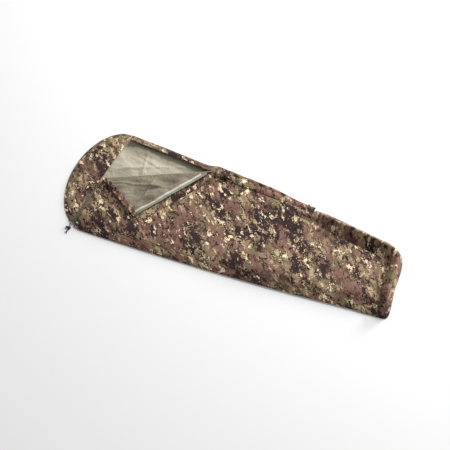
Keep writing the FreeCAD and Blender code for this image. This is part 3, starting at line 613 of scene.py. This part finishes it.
def bulge(points):
    """The cloth swells past the seams before it turns under to them."""
    x, y, z = points[..., 0], points[..., 1], points[..., 2]
    near = near_half(x) + y
    edge = from_foot_line(x, y)
    foot = smooth((x - 0.98) / 0.12)
    low = bell(z, 0.016, 0.014) * bell(near, 0, 0.035)
    high = bell(z, 0.040, 0.026) * bell(edge, 0, 0.045) * smooth((x - 0.45) / 0.1)
    points[..., 1] = y - 0.014 * low * (1 - foot) + 0.016 * high * (1 - foot)
    points[..., 0] = x + 0.010 * high * foot
    return foot_skew(points)

def top_panel():
    near, far = panel_edges()
    plan = across(near, far, 110)
    x, y = plan[..., 0], plan[..., 1]
    points = bulge(np.stack([x, y, top_height(x, y)], -1))
    piece = cloth("top_panel_cloth", points, CAMO, LINING)
    dress(piece, "sack", "outer_fabric", "top_panel")
    return area_of(points)

print("top panel %.2f square metres" % top_panel())

# %% [markdown]
# ## Hood panel
# A half-ellipse of cloth that arches over the head end.  Its straight edge is held up by
# the stiff drawcord tunnel, and the cloth falls in a round slope to the seam.

# %% Hood panel
def hood_gap(y):
    return 0.014 + 0.055 * np.maximum(0, FOLD_A[1] - y)

def hood_height(y):
    share = np.clip(1 - (np.abs(y) / SHOULDER_HALF) ** 2.2, 0, 1)
    lift = 0.016 * smooth((y - 0.25) / 0.1)
    return mix(SEAM_Z + 0.005, 0.044, share) + lift + 0.0016 * ripple(y, 0.0, 0.07, 6.0)

def hood_plan(y, share):
    """x from the head seam (share 0) to the face edge (share 1)."""
    back = SHOULDER_X - (SHOULDER_X - HEAD_X) * np.sqrt(np.clip(1 - (y / SHOULDER_HALF) ** 2, 0, 1))
    return mix(back, face_x(y, hood_gap(y)), share)

def hood_panel():
    turn = np.linspace(-1, 1, 130) * math.radians(72.5)
    y = (SHOULDER_HALF * np.sin(turn))[:, None]
    share = row(0, 1, 50) ** 1.3
    x, y = np.broadcast_arrays(hood_plan(y, share), y)
    z = mix(SEAM_Z, hood_height(y), rising(share * 1.15) ** 0.75)
    middle = smooth(share / 0.2) * smooth((1 - share) / 0.2 + 0.3)
    z = z + middle * 0.0055 * ripple(x, y, 0.12, 3.0)
    z = z + middle * 0.002 * ripple(x, y, 0.045, 5.0)
    x = x - 0.004 * bell(z, 0.014, 0.008) * (1 - smooth(share / 0.2))
    z = z - 0.0025 * smooth((share - 0.965) / 0.035)
    points = stacked(x, y, z)
    piece = cloth("hood_cloth", points, CAMO, LINING, flip=True)
    dress(piece, "sack", "outer_fabric", "hood_panel")
    return area_of(points)

print("hood %.3f square metres" % hood_panel())

# %% [markdown]
# ## Fixed side strip
# The strip between the side seam and the zip stays with the floor.  Where the zip is open
# it has slumped, so it is steep at the seam and nearly flat beside the zip.

# %% The zip's two straight runs
UP = np.array([0.0, 0.0, 1.0])

def unit(v):
    return np.asarray(v) / np.linalg.norm(v)

SHEET_ALONG = unit(FOLD_C - FOLD_A)
SHEET_LEVEL = np.array([-SHEET_ALONG[1], SHEET_ALONG[0], 0.0])
SHEET_ACROSS = SHEET_LEVEL * math.cos(CLOSED_TILT) - UP * math.sin(CLOSED_TILT)
SHEET_OUT = np.cross(SHEET_ALONG, SHEET_ACROSS)
FOLD_LENGTH = float(np.linalg.norm(FOLD_C - FOLD_A))

def closed_place(along, over, rise=0.0):
    """Point of the zipped corner's plane while it is closed."""
    return placed(FOLD_A, (along, SHEET_ALONG), (over, SHEET_ACROSS), (rise - FOLD_R, SHEET_OUT))

def folded_place(along, over, rise=0.0):
    """The same point of the cloth with the corner folded back; rise is out of the print."""
    return placed(FOLD_A, (along, SHEET_ALONG), (over, -SHEET_LEVEL), (rise - FOLD_R, -UP))

def sheet_coordinates(plan):
    """(along, over) in the closed corner's plane of plan positions."""
    step = np.asarray(plan) - FOLD_A[:2]
    return step @ SHEET_ALONG[:2], step @ SHEET_LEVEL[:2] / math.cos(CLOSED_TILT)

HEAD_ALONG, HEAD_OVER = (float(v) for v in sheet_coordinates(ZIP_HEAD))
ZIP_RUN = unit([HEAD_ALONG - FOLD_LENGTH, HEAD_OVER])
ZIP_SIDE = np.array([ZIP_RUN[1], -ZIP_RUN[0]])
if ZIP_SIDE @ np.array([0.3 - FOLD_LENGTH, 0.0]) < 0:
    ZIP_SIDE = -ZIP_SIDE
OPEN_LENGTH = math.hypot(HEAD_ALONG - FOLD_LENGTH, HEAD_OVER)

def beside_zip(along, inward):
    """(along, over) in the corner's plane, from the fold's zip end; inward is onto the corner."""
    along, inward = np.broadcast_arrays(along, inward)
    return FOLD_LENGTH + along * ZIP_RUN[0] + inward * ZIP_SIDE[0], along * ZIP_RUN[1] + inward * ZIP_SIDE[1]

def open_zip(along, inward, rise):
    return closed_place(*beside_zip(along, inward), rise)

CLOSED_START = closed_place(FOLD_LENGTH, 0.0)
CLOSED_END = np.array([ZIP_FOOT[0], ZIP_FOOT[1], CLOSED_START[2] + 0.004])
CLOSED_LENGTH = float(np.linalg.norm(CLOSED_END - CLOSED_START))
CLOSED_RUN = (CLOSED_END - CLOSED_START) / CLOSED_LENGTH
CLOSED_FAR = unit(np.cross([0, 0, 1], CLOSED_RUN))
CLOSED_UP = np.cross(CLOSED_RUN, CLOSED_FAR)

def closed_zip(along, far, rise):
    return placed(CLOSED_START, (along, CLOSED_RUN), (far, CLOSED_FAR), (rise, CLOSED_UP))

print("open zip %.3f m, closed zip %.3f m" % (OPEN_LENGTH, CLOSED_LENGTH))

# %% Fixed side strip
def strip_inner_edge():
    """The strip's edge on the zip tape, from the head end to past the foot end."""
    head = open_zip(np.linspace(OPEN_LENGTH, 0.004, 70), -0.009, 0.0034)
    foot = closed_zip(np.linspace(0.008, CLOSED_LENGTH, 70), TAPE_EDGE, 0.0008)
    return np.concatenate([head, foot])

def side_strip():
    inner = strip_inner_edge()
    seam_y = half_width(inner[:, 0])
    share = row(0, 1, 22)
    x = inner[:, :1] + 0 * share
    y = mix(inner[:, 1:2], seam_y[:, None], share)
    fall = 1 - rising(1 - share) ** 0.55
    z = mix(inner[:, 2:3], SEAM_Z, fall)
    loose = np.sin(np.pi * share)
    z = z + loose * 0.003 * ripple(x, y, 0.06, 7.0, (1.6, 1.0))
    slumped = smooth((-0.30 - x) / 0.2)
    z = z + slumped * loose * 0.003 * ripple(x, y, 0.03, 9.0)
    full = 0.020 * smooth((x + 0.34) / 0.12) * (1 - smooth((x - 0.15) / 0.3)) + 0.004
    y = y + full * np.sin(np.pi * np.clip(share * 1.02 - 0.02, 0, 1)) * smooth((x + 1.1) / 0.5)
    z = z + full * 0.5 * np.sin(np.pi * share)
    plane = closed_place(*sheet_coordinates(np.stack([x, y], -1)), 0.0036)[..., 2]
    z = np.where(x < FOLD_C[0] - 0.03, np.minimum(z, plane), z)
    points = stacked(x, y, z)
    piece = cloth("side_strip_cloth", points, CAMO, LINING)
    dress(piece, "sack", "outer_fabric", "side_strip")
    return area_of(points)

print("side strip %.3f square metres" % side_strip())

# %% [markdown]
# ## Seam tapes on the floor
# Both side seams are sealed from inside with a smooth welded tape.  It is seen through
# the open corner, as a pale line beside the far seam.

# %% Seam tapes on the floor
SEAM_TAPE_W = 0.014

def floor_seam_tape(name, side):
    x = column(-0.89, 0.955, 220)
    inset = row(0.014 + SEAM_TAPE_W, 0.014, 6)
    y = half_width(x) - inset
    x = x + 0 * inset
    points = np.stack([x, side * y, floor_height(x, side * y) + 0.0006], -1)
    piece = cloth(name + "_strip", points, SEAM_TAPE, SEAM_TAPE, thick=0.0004, flip=side < 0)
    dress(piece, "sack", "lining_tape", name)

for name, side in (("near_seam_tape", -1), ("far_seam_tape", 1)):
    floor_seam_tape(name, side)
print("floor seam tapes laid")

# %% [markdown]
# ## Drawcord tunnel and the top panel's hem
# The hood's edge is turned over a cord to make a tunnel.  Beside the shut part of the
# opening the tunnel shows as a grey-green band that widens towards the near seam, gently
# gathered by the cord.  The top panel's edge is only doubled and stitched.

# %% Drawcord tunnel, its cord and the hem
def tube(name, path, radius, material, sides=8):
    """Closed mesh tube along a path of points."""
    path = np.asarray(path, float)
    run = np.gradient(path, axis=0)
    run = run / np.linalg.norm(run, axis=1, keepdims=True)
    first = np.cross(run, np.array([0.0, 0.0, 1.0]))
    weak = np.linalg.norm(first, axis=1) < 1e-3
    first[weak] = np.cross(run[weak], np.array([1.0, 0.0, 0.0]))
    first = first / np.linalg.norm(first, axis=1, keepdims=True)
    second = np.cross(run, first)
    turn = np.arange(sides) * 2 * np.pi / sides
    ring = first[:, None] * np.cos(turn)[None, :, None] + second[:, None] * np.sin(turn)[None, :, None]
    verts = (path[:, None] + radius * ring).reshape(-1, 3)
    index = np.arange(len(verts)).reshape(len(path), sides)
    after = np.roll(index, -1, axis=1)
    faces = np.stack([index[:-1], index[1:], after[1:], after[:-1]], -1).reshape(-1, 4).tolist()
    faces.append(index[0].tolist())
    faces.append(index[-1, ::-1].tolist())
    return mesh_object(name, verts.tolist(), faces, material)

def drawcord_tunnel():
    y = column(-0.370, 0.352, 240)
    share = row(0, 1, 20)
    shut = 1 - smooth((y - FOLD_A[1] + 0.03) / 0.03)
    edge = face_x(y, hood_gap(y))
    back = edge - 0.022
    front = mix(edge - 0.009, face_x(y) + 0.004 + 0.003 * smooth((-0.1 - y) / 0.2), shut)
    x = mix(back, front, share)
    under = hood_height(y) - mix(0.0075, 0.0030, shut)
    top = top_height(face_x(y), y, folds=False) - 0.0030
    across_gap = smooth((x - edge) / np.maximum(front - edge, 0.004)) * shut
    z = mix(under, mix(under, top, shut), across_gap)
    open_gap = bell(share, 0.70, 0.16) * shut
    z = z + open_gap * (0.002 + 0.0012 * ripple(y, 0.0, 0.012, 8.0))
    z = z - 0.0045 * smooth((0.12 - share) / 0.12)
    points = stacked(x, y, np.maximum(z, 0.0055))
    piece = cloth("hood_tunnel_cloth", points, TUNNEL_CLOTH, LINING, thick=0.001, flip=True)
    dress(piece, "sack", "outer_fabric", "hood_tunnel")

def cord_in_tunnel():
    y = np.linspace(-0.355, 0.30, 120)
    x = face_x(y, hood_gap(y)) - 0.011
    z = np.maximum(hood_height(y) - 0.0062, 0.0060)
    piece = tube("drawcord_run", np.stack([x, y, z], 1), 0.0014, CORD)
    dress(piece, "sack", "cord", "drawcord_in_tunnel")

def top_panel_hem():
    y = column(-0.366, FOLD_A[1], 130)
    share = row(0, 1, 9)
    x = face_x(y) - 0.0006 + 0.030 * share
    y = y + 0 * x
    z = top_height(x, y) - SHEET - 0.0003
    points = stacked(x, y, z)
    piece = cloth("top_panel_hem_cloth", points, CAMO_INSIDE, CAMO_INSIDE, flip=True)
    dress(piece, "sack", "outer_fabric", "top_panel_hem")

drawcord_tunnel()
cord_in_tunnel()
top_panel_hem()
print("tunnel, cord and hem made")

# %% [markdown]
# ## The folded corner
# The corner is laid back over the sack, so its lining is on top.  It stays one sheet with
# the top panel through a small roll at the fold, and the roll stands as a low ridge when
# the corner is shut.  The roll keeps standing as a low ridge when the corner is shut.

# %% Places on the folded corner
ROLL_R = 0.0086
CORNER_CREASES = [((0.05, 0.03), (0.42, 0.10), 0.008, -0.0065), ((0.12, 0.15), (0.50, 0.07), 0.007, 0.0050),
                  ((0.20, 0.26), (0.36, 0.02), 0.008, -0.0055), ((0.30, 0.20), (0.52, 0.02), 0.007, 0.0050)]

def corner_wave(along, over):
    """Soft wrinkles of the folded corner; none at the roll and at the zip's end."""
    fade = smooth(over / 0.05) * smooth((FOLD_LENGTH - along - 0.03) / 0.14)
    inward = (along - FOLD_LENGTH) * ZIP_SIDE[0] + over * ZIP_SIDE[1]
    fade = fade * mix(0.35, 1.0, smooth(inward / 0.06))
    wave = 0.0090 * ripple(along, over, 0.11, 12.0, (1.0, 1.7))
    wave = wave + 0.0085 * ripple(along, over, 0.045, 13.0, (2.0, 1.0))
    wave = creased(wave, along, over, CORNER_CREASES)
    lift = 0.006 * smooth(1 - np.hypot(along - HEAD_ALONG, over - HEAD_OVER) / 0.2)
    return (np.maximum(wave, -0.008) + lift) * fade

def corner_point(along, over, lift=0.0):
    """Point above the corner's lining; over runs from the fold, below zero in the roll."""
    turn = np.clip(np.pi + over / ROLL_R, 0, np.pi)
    far = (ROLL_R + lift) * np.sin(turn) - np.maximum(over, 0)
    rise = -(ROLL_R + lift) * np.cos(turn) + corner_wave(along, over)
    return placed(FOLD_A, (along, SHEET_ALONG), (far, SHEET_LEVEL), (rise, UP))

def corner_print(along, over):
    """Where the same point lies while the corner is shut, for the print."""
    return closed_place(along, np.maximum(over, 0))[..., :2]

def ride_roll(piece):
    """Bakes the piece's placement into its points."""
    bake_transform(piece)

print("folded corner's tip lies at", np.round(corner_point(HEAD_ALONG, HEAD_OVER), 3))

# %% Folded corner's cloth, hem and tapes
def corner_edge(along):
    """Over to the hem on the head side, and to the zip tape's edge on the other."""
    hem = along * HEAD_OVER / HEAD_ALONG
    tape_along, tape_over = beside_zip(0.0, TAPE_EDGE)
    tape = tape_over + (along - tape_along) * ZIP_RUN[1] / ZIP_RUN[0]
    return np.maximum(np.minimum(hem, tape), 0.0)

def corner_cloth():
    before_tip = np.linspace(0.0005, HEAD_ALONG, 60)
    past_tip = np.linspace(HEAD_ALONG, FOLD_LENGTH, 110)[1:]
    along = np.concatenate([before_tip, past_tip])
    roll = np.linspace(-np.pi * ROLL_R, 0, 14)[None, :-1]
    flat = row(0, 1, 70)
    edge = corner_edge(along)[:, None]
    over = np.concatenate([roll + 0 * edge, flat * np.maximum(edge, 0.0015)], 1)
    along = along[:, None] + 0 * over
    points = corner_point(along, over)
    # Its lining side takes the darker copy of the lining, as painted shade.
    piece = cloth("flap_cloth", points, SHADED_CORNER_LINING, CAMO, corner_print(along, over), flip=True)
    ride_roll(piece)
    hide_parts("flap_panel")
    return area_of(points)

CORNER_HEM_W = 0.034

def corner_hem():
    """Doubled hem on the face opening's edge, turned onto the lining."""
    run = unit([HEAD_ALONG, HEAD_OVER])
    inward = np.array([run[1], -run[0]])
    length = math.hypot(HEAD_ALONG, HEAD_OVER)
    down = column(-0.024, length - 0.004, 130)
    wide = row(0, 1, 12) * CORNER_HEM_W
    along = np.where(down > 0, down, 0) * run[0] + wide * inward[0] - 0.001
    over = np.where(down > 0, down * run[1], down)
    over = over + np.where(down > 0, wide * inward[1], 0) * smooth(down / 0.05)
    along = along + 0 * over
    scallop = 0.0006 * np.sin(down * 2 * np.pi / 0.021)
    lift = 0.0014 + 0.0009 * bell(wide, 0.030, 0.003) + scallop * (wide / CORNER_HEM_W)
    points = corner_point(along, over, lift)
    piece = cloth("flap_hem_cloth", points, CAMO_INSIDE, CAMO_INSIDE, corner_print(along, over), thick=0.0013)
    ride_roll(piece)
    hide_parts("flap_hem")

def beside_corner_zip(name, node, along_range, inward_range, lift, material, thick, slot):
    """A strip of tape on the corner, along its zip edge."""
    along_zip = column(*along_range, 200)
    inward = row(*inward_range, 7)
    along, over = beside_zip(along_zip, inward)
    over = np.maximum(over, -0.010)
    points = corner_point(along, over, lift)
    piece = cloth(name, points, material, material, corner_print(along, over), thick=thick)
    dress(piece, "flap", slot, node)

print("corner %.3f square metres" % corner_cloth())
corner_hem()
beside_corner_zip("flap_seam_tape_strip", "flap_seam_tape", (0.075, OPEN_LENGTH - 0.02),
                  (0.0185, 0.0325), 0.0011, SEAM_TAPE, 0.0005, "lining_tape")
beside_corner_zip("flap_zip_tape_strip", "flap_zip_tape", (0.040, OPEN_LENGTH - 0.008),
                  (0.0028, 0.0200), 0.0005, ZIP_TAPE, 0.0007, "zip_tape")

# %% [markdown]
# ## Storm flaps
# A strip of cloth is sewn beside the zip and reaches over it.  On the folded corner it
# lies upside down and sticks out beyond the zip.  Over the shut part of the zip it is
# puffed up by the zip under it, and its head end gapes where the corner pulls on it.

# %% Storm flap of the folded corner
def corner_storm_flap():
    along_zip = column(0.042, OPEN_LENGTH - 0.014, 230)
    share = row(0, 1, 26)
    wavy = 0.0035 * ripple(along_zip, 0.0, 0.09, 14.0)
    reach = -0.046 - wavy
    inward = mix(0.0185, reach, share)
    along, over = beside_zip(along_zip, inward)
    drop = mix(0.0016, 0.0075, smooth(share / 0.35)) + 0.0030 * smooth((share - 0.75) / 0.25)
    drop = drop + 0.0026 * smooth((share - 0.4) / 0.6) * ripple(along_zip, share * 0.05, 0.05, 15.0)
    points = folded_place(along, over)
    sag = corner_wave(along, np.maximum(over, 0)) * (1 - 0.9 * share)
    points[..., 2] = np.maximum(points[..., 2] - drop + sag, 0.0492)
    print_at = closed_place(along, over)[..., :2]
    piece = cloth("flap_storm_flap_cloth", points, CAMO, CAMO, print_at, thick=0.0012)
    dress(piece, "flap", "outer_fabric", "flap_storm_flap")

corner_storm_flap()
print("storm flap of the folded corner made")

# %% Storm flap over the shut zip
def shut_storm_flap():
    start, end = 0.026, CLOSED_LENGTH - 0.004
    along = start + (end - start) * column(0, 1, 240) ** 1.15
    share = row(0, 1, 30)
    far = mix(-0.0186, 0.031 + 0.0016 * ripple(along, 0.0, 0.06, 17.0), share)
    gape = smooth((0.16 - along) / 0.13)
    crown = 0.0105 + 0.0230 * gape
    far = far + 0.014 * gape * smooth(far / 0.03)
    arch = np.sin(np.pi * np.clip(share, 0, 1) ** 0.85) ** 0.75
    foot = mix(0.0040, 0.0050 - 0.010 * smooth((along - 0.4) / 0.3), share)
    rise = foot + (crown - 0.004) * arch
    pucker = 0.0011 * ripple(along, share * 0.02, 0.028, 18.0)
    rise = rise + pucker * np.sin(np.pi * share)
    rise = np.maximum(rise, np.where(np.abs(far) < 0.008, 0.0098, -0.02))
    points = closed_zip(along, far, rise)
    piece = cloth("storm_flap_cloth", points, CAMO, CAMO, points[..., :2], thick=0.0013)
    dress(piece, "storm_flap", "outer_fabric", "storm_flap")
    # A bound edge along the gaping head end, made black and thick: partly the binding, partly painted shade
    # in the mouth under it.
    binding = tube("storm_flap_binding_painted_shade", points[0] + CLOSED_UP * -0.0006, 0.0024, WEBBING)
    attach(binding, "storm_flap")

def end_tab():
    along = column(CLOSED_LENGTH - 0.006, CLOSED_LENGTH + 0.011, 16)
    far = row(-0.019, 0.024, 26)
    side = np.clip(np.abs(far) / 0.0215, 0, 1)
    rise = 0.0112 - 0.0065 * side ** 3 + 0 * along
    stitch = np.sin(far * 2 * np.pi / 0.0022) > 0
    bar_tack = 0.0006 * stitch * (np.abs(along - CLOSED_LENGTH - 0.004) < 0.0025)
    points = closed_zip(along, far, rise + bar_tack)
    piece = cloth("storm_end_tab_cloth", points, WEBBING, WEBBING, points[..., :2], thick=0.0016)
    dress(piece, "sack", "webbing", "storm_end_tab")

shut_storm_flap()
end_tab()
print("storm flap over the shut zip made")

# %% [markdown]
# ## Zip tapes and coils
# The zip is a coil zip: a nylon wire wound in a flat spiral and sewn to a woven tape.
# Each coil here is that spiral, swept as a thin tube, so its teeth are real geometry.
# Where the zip is open the fixed tape has gone wavy, as slack tape does.

# %% Zip tapes
def slack(along):
    """How far the open fixed tape stands up or down."""
    loose = smooth((along - 0.10) / 0.25)
    wave = 0.0060 * ripple(along, 0.0, 0.034, 19.0) + 0.0030 * ripple(along, 0.0, 0.014, 20.0)
    peak = 0.010 * np.exp(-((along - OPEN_LENGTH + 0.012) / 0.016) ** 2)
    return loose * (wave + 0.0035) + peak

def tape(name, nodes, place, along, inner, outer, material, flat, wavy=False):
    along = along[:, None]
    share = row(0, 1, 13)
    across_tape = mix(inner, outer, share)
    rise = 0.0022 + (slack(along) * np.maximum(1 - share / 0.3, 0) if wavy else 0 * share)
    points = place(along, across_tape, rise)
    faces_down = grid_normals(points)[..., 2].mean() < 0
    piece = cloth(name, points, material, material, thick=0.0008, flip=bool(faces_down))
    dress(piece, "sack", "zip_tape", *nodes)

def zip_tapes():
    open_along = np.linspace(0, OPEN_LENGTH, 420)
    shut_along = np.linspace(0.002, CLOSED_LENGTH, 160)
    # Where the zip is open, the fixed tape takes the near-black copy, as painted shade along the edge.
    tape("fixed_zip_tape_open", ["fixed_zip_tape"], open_zip, open_along, -0.0010, -0.022,
         SHADED_OPEN_ZIP_TAPE, (0.021, OPEN_LENGTH), wavy=True)
    tape("fixed_zip_tape_shut", [], closed_zip, shut_along, 0.0030, 0.018,
         ZIP_TAPE, (0.015, CLOSED_LENGTH))
    tape("panel_zip_tape_strip", ["panel_zip_tape"], closed_zip, shut_along, -0.0030, -0.018,
         ZIP_TAPE, (0.015, CLOSED_LENGTH))

zip_tapes()
print("zip tapes made")

# %% Zip coils
PITCH = 0.0017
WIRE_R = 0.0004

def coil(name, place, start, end, inner, outer, phase=0.0, wave=None):
    turns = (end - start) / PITCH
    t = np.linspace(0, turns * 2 * np.pi, int(turns * 9))
    along = start + t / (2 * np.pi) * PITCH
    middle = (inner + outer) / 2
    half = abs(outer - inner) / 2 - WIRE_R
    across_coil = middle + half * np.cos(t + phase)
    rise = 0.0010 * np.sin(t + phase)
    if wave is not None:
        rise = rise + wave(along)
    return tube(name, place(along, across_coil, rise), WIRE_R, COIL_PLASTIC, sides=5)

def folded_coil_place(along_zip, inward, rise):
    along, over = beside_zip(along_zip, inward)
    return corner_point(along, over, -0.0002) + rise[:, None] * np.array([0, 0, -1.0])

fixed = coil("fixed_zip_teeth", open_zip, 0.002, 0.606, -0.0012, -0.0046, wave=slack)
dress(fixed, "sack", "zip_coil", "fixed_zip_coil")
shut_near = coil("meshed_zip_teeth_near", closed_zip, 0.002, CLOSED_LENGTH - 0.012, -0.0032, 0.0005)
dress(shut_near, "sack", "zip_coil", "meshed_zip_coil")
shut_far = coil("meshed_zip_teeth_far", closed_zip, 0.002, CLOSED_LENGTH - 0.012, -0.0005, 0.0032, np.pi)
dress(shut_far, "sack", "zip_coil")
moving = coil("flap_zip_teeth", folded_coil_place, 0.042, 0.606, 0.0012, 0.0046)
dress(moving, "flap", "zip_coil", "flap_zip_coil")
print("coils wound at", PITCH * 1000, "mm")

# %% [markdown]
# ## Press studs
# Every stud is a turned profile: a domed cap with a rolled rim, or a post with a waist.
# The profile is spun round its axis.

# %% Press studs
CAP = [(0, 0.0021), (0.0022, 0.0020), (0.0040, 0.0016), (0.0052, 0.0010), (0.0058, 0.0012),
       (0.0063, 0.0008), (0.0063, 0.0001), (0.0056, -0.0004), (0, -0.0004)]
POST = [(0, 0.0034), (0.0014, 0.0033), (0.0022, 0.0028), (0.0020, 0.0018), (0.0026, 0.0011),
        (0.0048, 0.0011), (0.0055, 0.0014), (0.0060, 0.0008), (0.0060, 0.0), (0, 0.0)]

def spun(profile, places, name, material, sides=28):
    """One object with a turned part at each place; a place is (centre, axis)."""
    verts = []
    faces = []
    turn = np.arange(sides) * 2 * np.pi / sides
    for centre, axis in places:
        axis = unit(axis)
        first = unit(np.cross(axis, [1.0, 0.0, 0.0]))
        second = np.cross(axis, first)
        base = len(verts)
        for radius, rise in profile:
            for angle in turn:
                around = first * math.cos(angle) + second * math.sin(angle)
                verts.append(np.asarray(centre) + axis * rise + around * max(radius, 1e-5))
        for ring in range(len(profile) - 1):
            for i in range(sides):
                a = base + ring * sides + i
                b = base + ring * sides + (i + 1) % sides
                faces.append((a, a + sides, b + sides, b))
    return mesh_object(name, [v.tolist() for v in verts], faces, material)

STUD_SPOTS = (0.134, 0.185, 0.239, 0.580)
SHUT_STUD_SPOTS = (0.090, 0.300, 0.510, 0.690)
STUD_OUT = 0.0225         # from the open zip
SHUT_STUD_FAR = 0.021     # from the shut zip
FOLDED_CAP_Z = 0.0526

def press_studs():
    upward = open_zip(0.3, 0.0, 1.0) - open_zip(0.3, 0.0, 0.0)
    posts = [(open_zip(s, -STUD_OUT, 0.0010), upward) for s in STUD_SPOTS]
    posts += [(closed_zip(s, SHUT_STUD_FAR, 0.0006), CLOSED_UP) for s in SHUT_STUD_SPOTS]
    piece = spun(POST, posts, "press_stud_posts", STUD_METAL)
    dress(piece, "sack", "press_stud", "press_studs")
    caps = []
    for s in STUD_SPOTS:
        along, over = beside_zip(s, -STUD_OUT)
        centre = folded_place(along, over)
        centre[2] = FOLDED_CAP_Z
        caps.append((centre, UP))
    piece = spun(CAP, caps, "flap_stud_cap_domes", STUD_METAL)
    dress(piece, "flap", "press_stud", "flap_stud_caps")
    caps = [(closed_zip(s, SHUT_STUD_FAR, 0.0098), CLOSED_UP) for s in SHUT_STUD_SPOTS]
    piece = spun(CAP, caps, "storm_stud_cap_domes", STUD_METAL)
    dress(piece, "storm_flap", "press_stud", "storm_stud_caps")

press_studs()
print("press studs:", 2 * len(STUD_SPOTS) + 2 * len(SHUT_STUD_SPOTS), "halves")

# %% [markdown]
# ## Drawcord ends, knot and cord lock
# The two ends of the hood's drawcord come out of their eyelets, pass side by side through
# a sprung cord lock, and are tied together in one overhand knot.  The cord is limp, so
# each end lies on the ground in a loose curve.

# %% Drawcord ends and knot
HOOD_LEG = [(-0.988, -0.365, 0.0088), (-0.985, -0.378, 0.0096), (-0.9779, -0.400, 0.008),
            (-0.9779, -0.448, 0.008), (-0.9814, -0.458, 0.0055), (-0.9869, -0.468, 0.003)]
PANEL_LEG = [(-0.957, -0.380, 0.010), (-0.962, -0.389, 0.009), (-0.9741, -0.400, 0.008),
             (-0.9741, -0.448, 0.008), (-0.9761, -0.459, 0.0046), (-0.9716, -0.470, 0.0019)]
CORD_D = 0.003
KNOT_AT = Vector((-0.9786, -0.455, 0.0056))

def drawcord_end(name, node, route):
    curve = bpy.data.curves.new(name, "CURVE")
    curve.dimensions = "3D"
    spline = curve.splines.new("NURBS")
    spline.points.add(len(route) - 1)
    for point, place in zip(spline.points, route):
        point.co = (*place, 1.0)
    spline.order_u = 3
    spline.use_endpoint_u = True
    spline.resolution_u = 12
    curve.bevel_depth = CORD_D / 2
    curve.bevel_resolution = 4
    curve.use_fill_caps = True
    curve.materials.append(CORD)
    piece = link_object(name, curve)
    dress(piece, "sack", "cord", node)
    return piece

def overhand_knot():
    t = np.linspace(0, 2 * np.pi, 90)
    x = np.sin(t) + 2 * np.sin(2 * t)
    y = np.cos(t) - 2 * np.cos(2 * t)
    z = -np.sin(3 * t)
    path = np.stack([x * 0.00115, z * 0.0017, y * 0.00105], 1) + np.array(KNOT_AT)
    piece = tube("drawcord_overhand_knot", path, 0.00145, CORD, sides=12)
    dress(piece, "sack", "cord", "drawcord_knot")
    return piece

hood_end = drawcord_end("drawcord_end_hood", "drawcord_leg_hood", HOOD_LEG)
panel_end = drawcord_end("drawcord_end_panel", "drawcord_leg_panel", PANEL_LEG)
knot = overhand_knot()
print("drawcord ends laid")

# %% [markdown]
# ## Finishes of the small fittings
# The slider, its pulls, the stops, the eyelets and the cord lock keep the shapes that the
# frame gives them.  They only need their finish.

# %% Finishes of the small fittings
KEPT = {
    "slider_body": BLACK_LACQUER, "outer_pull": BLACK_LACQUER, "inner_pull": BLACK_LACQUER,
    "zip_bottom_stop": BLACK_LACQUER, "zip_top_stop": BLACK_LACQUER, "flap_top_stop": BLACK_LACQUER,
    "hood_eyelet": STUD_METAL, "top_panel_eyelet": STUD_METAL,
    "lock_barrel": BLACK_PLASTIC, "lock_button": BLACK_PLASTIC,
}
for node, finish in KEPT.items():
    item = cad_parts[node]
    for slot in item.material_slots:
        slot.link = "OBJECT"
        slot.material = finish
print("finished", len(KEPT), "fittings")

# %% [markdown]
# ## Ground, light and camera
# The sack lies on a plain white ground.  A broad light from the far side and above
# shapes the cloth.  A lower one behind it rakes over the folds and throws a faint soft
# shadow on the near side, and the world light keeps that shadow pale.

# %% Ground
GROUND = 14.0    # from the middle to each edge

def ground():
    material, _, shader = new_material("pale ground")
    set_inputs(shader, {"Base Color": srgb(238, 238, 238), "Roughness": 0.95, "Specular IOR Level": 0.1})
    corners = [(-GROUND, -GROUND, 0), (GROUND, -GROUND, 0), (GROUND, GROUND, 0), (-GROUND, GROUND, 0)]
    mesh_object("ground", corners, [(0, 1, 2, 3)], material)

ground()
print("ground laid")

# %% Light
def area_light(name, place, size, power):
    """A square lamp that looks at the middle of the sack."""
    light = bpy.data.lights.new(name, "AREA")
    light.shape = "SQUARE"
    light.size = size
    light.energy = power
    lamp = link_object(name, light)
    lamp.location = place
    lamp.rotation_euler = (-Vector(place)).to_track_quat("-Z", "Y").to_euler()

world = bpy.data.worlds.new("studio")
world.use_nodes = True
world.node_tree.nodes["Background"].inputs["Color"].default_value = (1, 1, 1, 1)
world.node_tree.nodes["Background"].inputs["Strength"].default_value = 0.42
bpy.context.scene.world = world
area_light("main_light", (2.0, 5.6, 5.8), 3.0, 560)
area_light("low_light", (3.6, 7.2, 2.7), 2.4, 600)
bpy.context.scene.view_settings.view_transform = "Standard"
print("lit")

# %% Camera
AZIMUTH = math.radians(22.79)
ELEVATION = math.radians(59.5)
DISTANCE = 9.18
TARGET = Vector((-0.028, -0.028, 0.046))

def camera():
    data = bpy.data.cameras.new("camera")
    data.sensor_width = 36
    data.lens = 112
    item = link_object("camera", data)
    back = Vector((math.sin(AZIMUTH) * math.cos(ELEVATION), -math.cos(AZIMUTH) * math.cos(ELEVATION),
                   math.sin(ELEVATION)))
    item.location = TARGET + back * DISTANCE
    item.rotation_euler = back.to_track_quat("Z", "Y").to_euler()
    bpy.context.scene.camera = item

camera()
print("camera placed")
